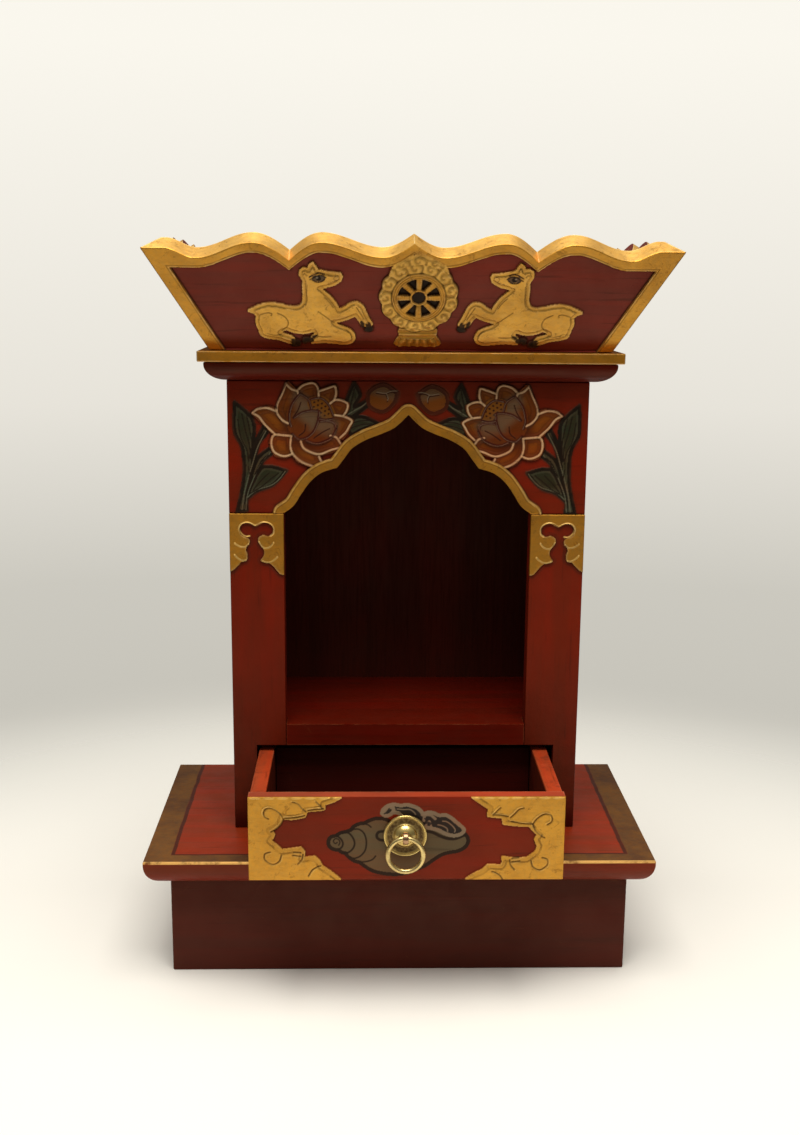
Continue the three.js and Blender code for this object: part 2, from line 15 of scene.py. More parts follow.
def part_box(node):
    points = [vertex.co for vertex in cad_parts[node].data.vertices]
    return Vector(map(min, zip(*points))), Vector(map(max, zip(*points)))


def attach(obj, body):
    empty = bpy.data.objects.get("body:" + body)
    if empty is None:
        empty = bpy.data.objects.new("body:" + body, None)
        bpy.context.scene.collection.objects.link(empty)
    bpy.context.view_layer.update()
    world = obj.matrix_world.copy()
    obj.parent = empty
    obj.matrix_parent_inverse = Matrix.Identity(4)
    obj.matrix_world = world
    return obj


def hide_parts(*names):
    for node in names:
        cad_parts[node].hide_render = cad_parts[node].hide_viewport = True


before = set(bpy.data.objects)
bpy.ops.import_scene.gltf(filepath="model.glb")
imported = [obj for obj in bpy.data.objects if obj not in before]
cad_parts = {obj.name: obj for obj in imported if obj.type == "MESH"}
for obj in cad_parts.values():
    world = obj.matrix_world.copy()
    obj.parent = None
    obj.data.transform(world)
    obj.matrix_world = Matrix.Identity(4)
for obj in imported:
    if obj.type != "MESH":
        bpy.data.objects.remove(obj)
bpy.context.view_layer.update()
MM = 0.001


# ---------------------------------------------------------------- measures from the frame
def box(node):
    """The lowest and highest corner of a node of the frame, in millimetres."""
    return [np.array(corner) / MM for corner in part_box(node)]


def span_x(low, high):
    """The middle and the half width between two corners."""
    return (low[0] + high[0]) / 2, (high[0] - low[0]) / 2


side_low, side_high = box("side_left")[0], box("side_right")[1]
shelf_low = box("niche_shelf")[0]
arch_low, arch_high = box("arch_board")
pillar_low = box("pillar_right")[0]
slab_low, slab_high = box("slab")
strip_low, strip_high = box("gold_strip")
drawer_low, drawer_high = box("drawer_front")
drawer_top = box("drawer_left")[1][2]
rosette_low, rosette_high = box("pull_rosette")
ring_low, ring_high = box("pull_ring")
pin_low, pin_high = box("pull_pin")

GAP = 0.3
STRIP_LEDGE = 6
body_x, body_half = span_x(side_low, side_high)
BODY = {
    "x": body_x, "half": body_half, "front": shelf_low[1],
    "board": 11.0, "niche": 66.0, "bay": 82.3, "bay_top": shelf_low[2],
}
strip_x, strip_half = span_x(strip_low, strip_high)
CROWN = {
    "x": strip_x, "foot": strip_high[2], "half": strip_half - STRIP_LEDGE,
    "front": strip_low[1] + STRIP_LEDGE, "back": strip_high[1],
    "lean": math.atan2(29, 50), "board": 10.5, "band": 5.4, "side_band": 7.8,
}
FIELD, BAND, COLLAR, LEAF, PETAL, LAYER = 1.5, 1.6, 1.3, 0.7, 0.9, 0.1


# ---------------------------------------------------------------- curves and distances
def spline(points, steps=8):
    """Catmull-Rom curve through the points: each stretch leaves with half the chord of its neighbours."""
    p = np.asarray(points, float)
    k = np.arange(len(p) - 1)
    before, start, end, after = p[np.maximum(k - 1, 0)], p[k], p[k + 1], p[np.minimum(k + 2, len(p) - 1)]
    leave, arrive = (end - before) / 2, (after - start) / 2
    t = (np.arange(steps) / steps)[:, None, None]
    curve = ((2 * start - 2 * end + leave + arrive) * t ** 3
             + (3 * end - 3 * start - 2 * leave - arrive) * t ** 2 + leave * t + start)
    return np.vstack([curve.transpose(1, 0, 2).reshape(-1, 2), p[-1:]])


def outline(strokes, steps=8):
    """A closed outline of smooth strokes that meet at sharp corners: a stroke after the first one is
    written without its first point, which is the last point of the stroke before it."""
    whole = strokes[:1] + [[before[-1], *stroke] for before, stroke in zip(strokes, strokes[1:])]
    return np.vstack([spline(stroke, steps)[:-1] for stroke in whole])


def ease(t):
    """Smooth step: 0 up to t = 0, 1 from t = 1, and 3t^2 - 2t^3 between."""
    t = np.clip(t, 0, 1)
    return t * t * (3 - 2 * t)


def swell(depth, width):
    """A dome's rise: 0 at an outline, nearing 1 inside it as 1 - exp(-depth / width)."""
    return 1 - np.exp(-np.clip(depth, 0, None) / width)


def near_box(x, z, points, reach):
    """Which places lie within reach of the box around some points."""
    low, high = points.min(0) - reach, points.max(0) + reach
    return (x > low[0]) & (x < high[0]) & (z > low[1]) & (z < high[1])


def segment_gaps(place, start, side):
    """Distance from every place to every segment: the place less its nearest point on the segment."""
    along = ((place - start) * side).sum(-1) / np.maximum((side ** 2).sum(-1), 1e-12)
    return np.linalg.norm(place - start - np.clip(along, 0, 1)[..., None] * side, axis=-1)


def depth_inside(x, z, points, reach=3.0):
    """Depth inside a closed outline: distance to its nearest side, negative outside (even-odd rule)."""
    depth = np.full(x.shape, -reach)
    near = near_box(x, z, points, reach)
    place = np.stack([x[near], z[near]], -1)[:, None]
    side = np.roll(points, -1, 0) - points
    gaps = segment_gaps(place, points, side).min(1)
    straddles = (points[:, 1] > place[..., 1]) != (points[:, 1] + side[:, 1] > place[..., 1])
    rise = np.where(side[:, 1] == 0, 1, side[:, 1])
    meets = points[:, 0] + (place[..., 1] - points[:, 1]) / rise * side[:, 0]
    inside = (straddles & (place[..., 0] < meets)).sum(1) % 2 == 1
    depth[near] = np.where(inside, gaps, -gaps)
    return np.maximum(depth, -reach)


def distance_to(x, z, line, reach):
    """Distance to an open line, or reach where it is farther than that."""
    gap = np.full(x.shape, float(reach))
    near = near_box(x, z, line, reach)
    place = np.stack([x[near], z[near]], -1)[:, None]
    gap[near] = segment_gaps(place, line[:-1], line[1:] - line[:-1]).min(1)
    return np.minimum(gap, reach)


def depth_in_circle(x, z, centre, radius):
    """Depth inside a circle: the radius less the distance to the centre."""
    return radius - np.hypot(x - centre[0], z - centre[1])


def limb_depth(x, z, joints, fillet=1.2):
    """Depth in a chain of tapering capsules: radius, blended along the bone, less distance to the bone.
    Two that meet are joined by a fillet: the larger depth, raised by a parabola where they are close."""
    depth = np.full(x.shape, -4.0)
    for (x0, z0, r0), (x1, z1, r1) in zip(joints, joints[1:]):
        ax, az = x1 - x0, z1 - z0
        t = np.clip(((x - x0) * ax + (z - z0) * az) / (ax * ax + az * az), 0, 1)
        bone = r0 + (r1 - r0) * t - np.hypot(x - x0 - t * ax, z - z0 - t * az)
        overlap = np.clip(fillet - np.abs(depth - bone), 0, None)
        depth = np.maximum(depth, bone) + overlap ** 2 / (4 * fillet)
    return depth


def blurred(values, reach):
    """Mean over a square of neighbours, from running sums along the columns and the rows."""
    for axis in (0, 1):
        pad = [(reach + 1, reach) if axis == a else (0, 0) for a in (0, 1)]
        total = np.cumsum(np.pad(values, pad, mode="edge"), axis)
        count = values.shape[axis]
        ahead = np.take(total, np.arange(2 * reach + 1, 2 * reach + 1 + count), axis)
        values = (ahead - np.take(total, np.arange(count), axis)) / (2 * reach + 1)
    return values


# ---------------------------------------------------------------- coats of paint
def tone(code, gilt=0.0):
    """A coat from a six-figure colour: linear red, green and blue, and how much of it is gilding."""
    parts = [int(code[i:i + 2], 16) / 255 for i in (0, 2, 4)]
    linear = [p / 12.92 if p < 0.04045 else ((p + 0.055) / 1.055) ** 2.4 for p in parts]
    return np.array([*linear, gilt])


RED, MAROON, WINE = tone("741f0a"), tone("88362c"), tone("3e1110")
# The second gold is painted highlight, for edges and bead crowns that catch the light.
GOLD, HIGHLIGHT_GOLD, DULL_GOLD = tone("d09a40", 1), tone("f6ca78", 1), tone("b8832f", 1)
CREAM, BUFF, ASH = tone("dcb88c"), tone("6c5840"), tone("8d7c64")
AMBER, UMBER, POD = tone("6e360b"), tone("300d07"), tone("7d4c10")
SAGE, PALE_SAGE, OLIVE = tone("262e1e"), tone("5f6450"), tone("61543c")
BLACK, SLATE = tone("0f0e0d"), tone("1a2022")


class Face:
    """The carved and painted face of a board, worked over a grid of places (x, z)."""

    def __init__(self, x, z, height, coat):
        self.x, self.z = x, z
        self.height = np.full(x.shape, float(height))
        self.coat = np.zeros(x.shape + (4,)) + coat
        # Next: dirt with painted shade, then wear with painted highlight, for the material to darken and
        # brighten by.
        self.grime_and_shade = np.zeros(x.shape)
        self.wear_and_highlight = np.zeros(x.shape)

    def depth(self, points, reach=4):
        """Depth of every place inside a closed outline."""
        return depth_inside(self.x, self.z, points, reach)

    def paint(self, depth, coat, edge=0.35, strength=1.0):
        """Covers the places whose depth is above 0 with a coat, over a soft edge."""
        cover = (ease(depth / edge + 0.5) * strength)[..., None]
        self.coat += cover * (np.asarray(coat) - self.coat)

    def grime_and_shade_line(self, depth, amount, width=0.3):
        """Dirt and painted shade in a line where a depth passes 0: a bell curve of that width."""
        self.grime_and_shade += amount * np.exp(-(depth / width) ** 2)

    def lay(self, depth, surface, coat, wall=0.55, shade=0.5):
        """Lays a form over what is there: its surface inside, a wall that falls just outside it, and a line
        of painted shade at the wall's foot.
        """
        cover = ease(depth / wall + 1)
        self.height += cover * (surface - self.height)
        self.grime_and_shade *= 1 - cover
        self.paint(depth + wall / 2, coat)
        self.grime_and_shade_line(depth + wall, shade)

    def bead(self, line, half_width, rise, coat=None, dirt_and_shade=0.0):
        """A rounded line along a curve, raised, or cut in where the rise is negative, with any dirt and
        painted shade along it.
        """
        round_over = ease(1 - distance_to(self.x, self.z, line, half_width) / half_width)
        self.height += rise * round_over
        self.grime_and_shade += dirt_and_shade * round_over
        if coat is not None:
            self.paint(round_over - 0.5, coat, 0.5)

    def brush(self, line, half_width, coat, strength=1.0):
        """A painted line along a curve, with no height."""
        gap = distance_to(self.x, self.z, line, half_width + 1)
        self.paint(half_width - gap, coat, 0.35, strength)

    def age_with_painted_light(self, reach, dirt_and_shade, wear_and_highlight):
        """Dirt and painted shade gather where the face lies below its surroundings; wear and painted
        highlight brighten what stands above.
        """
        lift = self.height - blurred(self.height, reach)
        self.grime_and_shade = np.clip(self.grime_and_shade + dirt_and_shade * np.clip(-lift, 0, None), 0, 1)
        self.wear_and_highlight = np.clip(self.wear_and_highlight + wear_and_highlight * np.clip(lift, 0, None), 0, 1)


# ---------------------------------------------------------------- meshes
def make_mesh(name, vertices, quads, polygons=()):
    """A mesh from whole arrays: vertices in millimetres, four-sided faces, then any longer polygons."""
    mesh = bpy.data.meshes.new(name)
    corners = np.concatenate([quads.ravel(), *polygons])
    sizes = [4] * len(quads) + [len(polygon) for polygon in polygons]
    starts = np.cumsum([0] + sizes[:-1])
    mesh.vertices.add(len(vertices))
    mesh.loops.add(len(corners))
    mesh.polygons.add(len(starts))
    mesh.vertices.foreach_set("co", (vertices * MM).astype(np.float32).ravel())
    mesh.polygons.foreach_set("loop_start", starts.astype(np.int32))
    mesh.loops.foreach_set("vertex_index", corners.astype(np.int32))
    mesh.update(calc_edges=True)
    mesh.polygons.foreach_set("use_smooth", np.ones(len(starts), bool))
    return mesh


def ring_mesh(name, x, y, z, closed=False):
    """A mesh of equal rings of vertices, one ring a row: joined end to end, or capped at both ends."""
    x, y, z = np.broadcast_arrays(x, y, z)
    number = np.arange(x.size).reshape(x.shape)
    after, ahead = np.roll(number, -1, 0), np.roll(number, -1, 1)
    quads = np.stack([number, ahead, np.roll(after, -1, 1), after], -1)
    caps = [] if closed else [number[0][::-1], number[-1]]
    quads = (quads if closed else quads[:-1]).reshape(-1, 4)
    return make_mesh(name, np.stack([x, y, z], -1).reshape(-1, 3), quads, caps)


def add_piece(name, mesh, materials, body, node):
    """Puts a mesh in the scene as a piece that rides a body and stands for its node."""
    for material in materials:
        mesh.materials.append(material)
    mesh.set_sharp_from_angle(angle=math.radians(50))
    piece = bpy.data.objects.new(name, mesh)
    bpy.context.scene.collection.objects.link(piece)
    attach(piece, body)
    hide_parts(node)


def store(mesh, name, kind, values):
    """Keeps one value or colour a vertex in the mesh, for its material to read."""
    layer = mesh.attributes.new(name, kind, "POINT")
    layer.data.foreach_set("color" if kind == "FLOAT_COLOR" else "value", values.astype(np.float32).ravel())


def merge_doubles(mesh):
    """Joins vertices that share a place, and drops the faces that this leaves without area."""
    work = bmesh.new()
    work.from_mesh(mesh)
    bmesh.ops.remove_doubles(work, verts=work.verts, dist=1e-6)
    work.to_mesh(mesh)
    work.free()


def grid_corners(places):
    """The four corners of a grid as (column, row), in the order that a rim goes round it."""
    column, row = places.shape[0] - 1, places.shape[1] - 1
    return [(0, 0), (column, 0), (column, row), (0, row)]


def rim_path(corners, rows):
    """Vertex numbers met on a walk round a face from corner (column, row) to corner, each once."""
    legs = []
    for (c0, r0), (c1, r1) in zip(corners, corners[1:] + corners[:1]):
        step = np.arange(max(abs(c1 - c0), abs(r1 - r0)))
        legs.append((c0 + np.sign(c1 - c0) * step) * rows + r0 + np.sign(r1 - r0) * step)
    return np.concatenate(legs)


def closed_plate(name, places, face, rim, rings, keep=None):
    """A board behind its carved face: the grid of the face, walls from its rim through each ring,
    and one flat polygon at the back. Faces point away from the board."""
    columns, rows = places.shape[:2]
    number = np.arange(columns * rows).reshape(columns, rows)
    quads = np.stack([number[:-1, :-1], number[1:, :-1], number[1:, 1:], number[:-1, 1:]], -1)
    quads = quads.reshape(-1, 4) if keep is None else quads[keep]
    loops = [rim] + [columns * rows + k * len(rim) + np.arange(len(rim)) for k in range(len(rings))]
    walls = [np.stack([np.roll(a, -1), a, b, np.roll(b, -1)], -1) for a, b in zip(loops, loops[1:])]
    all_quads = np.vstack([quads, *walls])
    vertices = np.vstack([places.reshape(-1, 3), *rings])
    used = np.zeros(len(vertices), bool)
    used[all_quads] = True
    renumber = np.cumsum(used) - 1
    mesh = make_mesh(name, vertices[used], renumber[all_quads], [renumber[loops[-1][::-1]]])
    look = np.zeros(len(all_quads) + 1, np.int32)
    look[len(quads) + len(rim):] = 1
    look[-1] = 2
    mesh.polygons.foreach_set("material_index", look)
    for layer, kind, width in (("coat", "FLOAT_COLOR", 4), ("grime_and_shade", "FLOAT", 1), ("wear_and_highlight", "FLOAT", 1)):
        values = getattr(face, layer).reshape(-1, width)
        store(mesh, layer, kind, np.vstack([values] + [values[rim]] * len(rings))[used])
    return mesh


def upright_plate(name, node, body, looks, face, middle, front, back, corners=None, keep=None, drop=0.3):
    """A plate whose carved face looks forward: heights stand out from y = front, its walls have a first
    ring half a millimetre behind that, and its back is flat at y = back."""
    places = np.stack([face.x + middle, front - eased(face.height, drop), face.z], -1)
    rim = rim_path(corners or grid_corners(places), places.shape[1])
    flat = places.reshape(-1, 3)[rim]
    rings = [np.column_stack([flat[:, 0], np.full(len(rim), y), flat[:, 2]]) for y in (front + 0.5, back)]
    mesh = closed_plate(name, places, face, rim, rings, keep)
    add_piece(name, mesh, looks, body, node)


def stretch(stops, step):
    """Places from the first stop to the last, close to a step apart, with every stop among them."""
    legs = [np.linspace(a, b, max(int(round(abs(b - a) / step)), 1), endpoint=False)
            for a, b in zip(stops, stops[1:])]
    return np.concatenate([*legs, [stops[-1]]])


def eased(height, drop):
    """The face's outermost places lowered a little, so that no arris is a knife edge."""
    height = height.copy()
    for edge in (np.s_[0], np.s_[-1], np.s_[:, 0], np.s_[:, -1]):
        height[edge] -= drop
    return height


# ---------------------------------------------------------------- materials
class Wire:
    """The result of a node. A sum, difference or product of two results is a node as well."""

    def __init__(self, graph, socket):
        self.graph, self.socket = graph, socket

    def __add__(self, other):
        return self.graph.math("ADD", self, other)

    def __sub__(self, other):
        return self.graph.math("SUBTRACT", self, other)

    def __rsub__(self, other):
        return self.graph.math("SUBTRACT", other, self)

    def __mul__(self, other):
        return self.graph.math("MULTIPLY", self, other)


class Graph:
    """A node tree, built node by node: each method gives the wire that carries its result."""

    def __init__(self, tree):
        self.tree = tree

    def add(self, kind, **settings):
        node = self.tree.nodes.new(kind)
        for key, value in settings.items():
            setattr(node, key, value)
        return node

    def feed(self, node, result=0, **values):
        """Connects or sets a node's inputs, named with _ for a space, and gives one of its results."""
        for key, value in values.items():
            self.set(node.inputs[key.replace("_", " ")], value)
        return Wire(self, node.outputs[result])

    def set(self, socket, value):
        if isinstance(value, Wire):
            self.tree.links.new(value.socket, socket)
        else:
            socket.default_value = value

    def math(self, operation, a, b=0.0):
        node = self.add("ShaderNodeMath", operation=operation)
        self.set(node.inputs[0], a)
        self.set(node.inputs[1], b)
        return Wire(self, node.outputs[0])

    def mix(self, share, a, b, how="MIX"):
        """Colour a with b over it: the share of b, and how the two are combined."""
        node = self.add("ShaderNodeMix", data_type="RGBA", blend_type=how)
        for number, value in ((0, share), (6, a), (7, b)):
            colour = isinstance(value, (tuple, np.ndarray))
            self.set(node.inputs[number], (*value[:3], 1) if colour else value)
        return Wire(self, node.outputs[2])


class Finish(Graph):
    """One material, with its place on the piece to hand."""

    def __init__(self, name):
        self.material = bpy.data.materials.new(name)
        self.material.use_nodes = True
        super().__init__(self.material.node_tree)
        self.shader = self.tree.nodes["Principled BSDF"]
        self.place = self.feed(self.add("ShaderNodeTexCoord"), "Object")
        self.feed(self.shader, Specular_IOR_Level=0.22, Specular_Tint=(1.0, 0.72, 0.5, 1.0))

    def span(self, value, low, high, to_low=0.0, to_high=1.0):
        """Carries a value from one range to another along a smooth step."""
        node = self.add("ShaderNodeMapRange", interpolation_type="SMOOTHSTEP")
        return self.feed(node, Value=value, From_Min=low, From_Max=high, To_Min=to_low, To_Max=to_high)

    def stretched(self, scale):
        """The place on the piece with its axes scaled apart, so that a pattern runs along the grain."""
        return self.feed(self.add("ShaderNodeMapping"), Vector=self.place, Scale=scale)

    def noise(self, scale, detail=4.0, rough=0.55, place=None, warp=0.0):
        return self.feed(self.add("ShaderNodeTexNoise"), Vector=place or self.place, Scale=scale,
                         Detail=detail, Roughness=rough, Distortion=warp)

    def patches(self, low, high, scale, detail, rough, place=None, warp=0.0, to_low=0.0, to_high=1.0):
        """Noise from 0 where it is under low to 1 where it is over high, or between other values."""
        return self.span(self.noise(scale, detail, rough, place, warp), low, high, to_low, to_high)

    def attribute(self, name, output="Fac"):
        return self.feed(self.add("ShaderNodeAttribute", attribute_name=name), output)

    def axes(self):
        """The three coordinates of the place on the piece."""
        node = self.add("ShaderNodeSeparateXYZ")
        return [self.feed(node, axis, Vector=self.place) for axis in "XYZ"]

    def arris_nearness(self, radius):
        """How near an arris is: how far the rounded normal turns from the face's own."""
        rounded = self.feed(self.add("ShaderNodeBevel", samples=4), Radius=radius)
        turned = self.add("ShaderNodeVectorMath", operation="DOT_PRODUCT")
        self.set(turned.inputs[0], rounded)
        self.set(turned.inputs[1], self.feed(self.add("ShaderNodeNewGeometry"), "Normal"))
        return self.span(self.feed(turned, "Value"), 0.995, 0.85)

    def bump(self, height, distance, strength=1.0, onto=None):
        over = {} if onto is None else {"Normal": onto}
        node = self.add("ShaderNodeBump")
        return self.feed(node, Height=height, Distance=distance, Strength=strength, **over)

    def done(self, colour, roughness, normal, metallic=0.0):
        self.feed(self.shader, Base_Color=colour, Roughness=roughness, Normal=normal, Metallic=metallic)
        return self.material


UPRIGHT, LEVEL, DEEP = (1.0, 1.0, 0.06), (0.06, 1.0, 1.0), (1.0, 0.06, 1.0)
SLAB_BORDER_FRONT, SLAB_BORDER_END = 9.0, 13.5


def grain(finish, along):
    """Wood grain under paint: noise drawn out along the board, and finer pores in the same direction."""
    place = finish.stretched(along)
    return finish.noise(104, 5, 0.6, place, 0.4), finish.noise(520, 3, 0.6, place)


def gilding(finish, base, depth=1.0):
    """Gold over a colour: cloudy patches, fine brushed streaks, brown rubbed spots and small dark pits."""
    cloud = finish.patches(0.34, 0.68, 34, 5, 0.65)
    fine = finish.patches(0.3, 0.7, 430, 4, 0.65)
    brushed = finish.patches(0.44, 0.7, 420, 4, 0.65, finish.stretched((0.4, 1.0, 1.0)), 0.8)
    spots = finish.patches(0.55, 0.66, 190, 6, 0.78, warp=0.8)
    pits = finish.patches(0.62, 0.72, 420, 5, 0.7, warp=0.5)
    colour = finish.mix(cloud * (0.34 * depth), base, (0.36, 0.17, 0.035))
    colour = finish.mix(fine * 0.4, colour, (0.82, 0.56, 0.22), "SOFT_LIGHT")
    colour = finish.mix(brushed * (0.2 * depth), colour, (0.27, 0.12, 0.025))
    colour = finish.mix(spots * (0.55 * depth), colour, (0.22, 0.09, 0.015))
    colour = finish.mix(pits * (0.6 * depth), colour, (0.09, 0.035, 0.008))
    return colour, cloud, fine


def lacquer(finish, base, along, depth=1.0):
    """Brushed paint over wood: broad clouds, streaks along the grain, and darker pores."""
    cloud = finish.patches(0.28, 0.74, 17, 4, 0.6)
    broad, pores = grain(finish, along)
    streak, pore = finish.span(broad, 0.36, 0.68), finish.span(pores, 0.58, 0.75)
    colour = finish.mix(cloud * (0.3 * depth), base, (0.02, 0.004, 0.002))
    colour = finish.mix(streak * (0.32 * depth), colour, (1.0, 0.3, 0.12), "SOFT_LIGHT")
    colour = finish.mix(pore * (0.35 * depth), colour, (0.012, 0.004, 0.002))
    return colour, streak, pore


def carved_finish(name, along, gloss=0.42):
    """Paint and gilding laid on carving: the coat, the dirt and painted shade, and the wear and painted
    highlight that each vertex carries.
    """
    finish = Finish(name)
    coat, gilt = finish.attribute("coat", "Color"), finish.attribute("coat", "Alpha")
    grime_and_shade, wear_and_highlight = finish.attribute("grime_and_shade"), finish.attribute("wear_and_highlight")
    painted, streak, pore = lacquer(finish, coat, along)
    gilded, cloud, fine = gilding(finish, coat)
    colour = finish.mix(gilt, painted, gilded)
    # Raised places lighten towards bared undercoat or gold, as wear and painted highlight; low places darken,
    # as dirt and painted shade.
    bared_and_highlit = finish.mix(gilt, (0.34, 0.1, 0.045), (0.95, 0.68, 0.3))
    colour = finish.mix(wear_and_highlight * finish.patches(0.35, 0.6, 160, 4, 0.65) * 0.6, colour, bared_and_highlit)
    spread = grime_and_shade * finish.patches(0.2, 0.6, 130, 4, 0.6, to_low=0.55)
    colour = finish.mix(spread * 0.88, colour, (0.022, 0.009, 0.004))
    satin = finish.patches(0.3, 0.7, 75, 4, 0.6, to_low=gloss - 0.07, to_high=gloss + 0.1)
    normal = finish.bump(streak, 0.00006, 0.5)
    normal = finish.bump(fine, 0.00005, 0.6, normal)
    normal = finish.bump(cloud, 0.0004, 0.25, normal)
    return finish.done(colour, satin + grime_and_shade * 0.3, normal, gilt * (grime_and_shade * -0.5 + 0.62))


def painted_wood(name, base, along, worn, gloss=0.45, depth=1.0, rubbed=0.7, shaded_below=None):
    """Paint on a plain board, rubbed through to a warmer undercoat along its arrises. Where a height is
    given, the faces below it are darkened as painted shade, and the edge above it is grimy in patches."""
    finish = Finish(name)
    colour, streak, pore = lacquer(finish, base, along, depth)
    if shaded_below is not None:
        grime = finish.patches(0.5, 0.68, 90, 5, 0.7)
        colour = finish.mix(grime * 0.55, colour, (0.07, 0.018, 0.01))
        # Painted shade: the faces below the given height are darkened.
        shade = finish.span(finish.axes()[2], shaded_below * MM, (shaded_below - 1.2) * MM)
        colour = finish.mix(shade * 0.85, colour, (0.045, 0.005, 0.002))
    edge = finish.arris_nearness(0.0009) * finish.patches(0.4, 0.62, 95, 5, 0.7)
    colour = finish.mix(edge * rubbed, colour, worn)
    scuff = finish.patches(0.62, 0.72, 60, 6, 0.75, warp=1.2)
    colour = finish.mix(scuff * 0.14, colour, worn)
    roughness = finish.patches(0.3, 0.7, 70, 4, 0.6, to_low=gloss - 0.07, to_high=gloss + 0.12)
    normal = finish.bump(streak, 0.00012, 0.5)
    normal = finish.bump(pore, 0.00006, 0.5, normal)
    normal = finish.bump(finish.noise(24, 2, 0.5), 0.0007, 0.25, normal)
    return finish.done(colour, roughness, normal)


def gilded_wood(name, base, gloss=0.4):
    """Gilding on a plain board, with a painted highlight along its arrises and brown in its clouds."""
    finish = Finish(name)
    colour, cloud, fine = gilding(finish, base, 1.1)
    # Painted highlight: pale gold along the arrises, in patches.
    edge = finish.arris_nearness(0.0012) * finish.patches(0.3, 0.5, 120, 4, 0.6)
    colour = finish.mix(edge * 0.95, colour, (1.0, 0.76, 0.38))
    roughness = finish.patches(0.3, 0.7, 90, 4, 0.6, to_low=gloss - 0.06, to_high=gloss + 0.12)
    normal = finish.bump(grain(finish, LEVEL)[0], 0.0001, 0.4)
    normal = finish.bump(fine, 0.00006, 0.6, normal)
    return finish.done(colour, roughness, normal, 0.6)


def bare_wood(name, base, dark, along):
    """Unpainted softwood gone brown: rings as a warped wave across the grain, with fine fibres."""
    finish = Finish(name)
    place = finish.stretched(along)
    wave = finish.add("ShaderNodeTexWave", wave_type="RINGS", rings_direction="X")
    rings = finish.feed(wave, "Fac", Vector=place, Scale=26.0, Distortion=5.0, Detail=3.0, Detail_Scale=1.4)
    ring = finish.span(rings, 0.2, 0.95)
    fibre = finish.noise(900, 4, 0.6, place)
    colour = finish.mix(ring * 0.4, base, dark)
    colour = finish.mix(finish.span(fibre, 0.45, 0.7) * 0.3, colour, dark)
    stain = finish.patches(0.35, 0.7, 14, 4, 0.6)
    colour = finish.mix(stain * 0.35, colour, (0.03, 0.014, 0.008))
    normal = finish.bump(fibre, 0.00015, 0.6)
    normal = finish.bump(ring, 0.0002, 0.4, normal)
    return finish.done(colour, finish.span(fibre, 0.3, 0.7, 0.55, 0.78), normal)


def slab_finish(name):
    """Red paint inside a dull bronze border on top, with a dark line between them and gold at the arris,
    and painted shade on its front and ends. The border's width is measured in from the slab's front and ends."""
    finish = Finish(name)
    x, y, z = finish.axes()
    middle, half = span_x(slab_low, slab_high)
    from_end = finish.math("SUBTRACT", half * MM, finish.math("ABSOLUTE", x - middle * MM))
    from_front = y - slab_low[1] * MM
    wander = (finish.noise(60, 3, 0.6) - 0.5) * 0.0012
    narrower = SLAB_BORDER_FRONT / SLAB_BORDER_END
    inset = finish.math("MINIMUM", from_end * narrower + wander, from_front + wander)
    red, streak, pore = lacquer(finish, tone("842e12"), LEVEL)
    bronze, cloud, fine = gilding(finish, tone("563a2a"), 0.8)
    border = finish.span(inset, 0.0092, 0.0088)
    top = finish.math("GREATER_THAN", z, (slab_high[2] - 0.5) * MM)
    colour = finish.mix(border * top, red, bronze)
    line = finish.span(inset, 0.0088, 0.0092) * finish.span(inset, 0.0106, 0.0102)
    colour = finish.mix(line * top * 0.8, colour, (0.02, 0.007, 0.004))
    # Painted shade: the front and ends are darker than the top.
    colour = finish.mix((1.0 - top) * 0.4, colour, (0.05, 0.006, 0.003))
    under = finish.span(z, (slab_high[2] - 1.5) * MM, (slab_high[2] - 0.9) * MM)
    lip = under * finish.patches(0.3, 0.5, 70, 5, 0.7) * finish.span(from_front, 0.0011, 0.0007)
    colour = finish.mix(lip, colour, (0.98, 0.56, 0.17))
    edge = finish.arris_nearness(0.001) * finish.patches(0.42, 0.62, 95, 5, 0.7)
    colour = finish.mix(edge * 0.45, colour, (0.5, 0.26, 0.1))
    metal = finish.math("MAXIMUM", border * top * 0.4, lip * 0.75)
    roughness = finish.patches(0.3, 0.7, 70, 4, 0.6, to_low=0.36, to_high=0.52)
    normal = finish.bump(streak, 0.0001, 0.5)
    normal = finish.bump(fine, 0.00005, 0.5, normal)
    return finish.done(colour, roughness, normal, metal)


def brass_finish(name, bright, tarnish_from=None):
    """Polished brass with fine scratches; where a vertex carries tarnish it is brown and rough."""
    finish = Finish(name)
    fine = finish.noise(700, 4, 0.65)
    share = finish.patches(0.35, 0.7, 260, 4, 0.6) * 0.35
    if tarnish_from:
        held = finish.attribute(tarnish_from) * finish.span(fine, 0.3, 0.62, 0.72, 1.0)
        share = finish.math("MAXIMUM", share, held)
    colour = finish.mix(share, bright, (0.09, 0.05, 0.022))
    normal = finish.bump(fine, 0.00004, 0.4)
    return finish.done(colour, finish.span(share, 0.0, 1.0, 0.26, 0.6), normal,
                       finish.span(share, 0.0, 1.0, 1.0, 0.55))


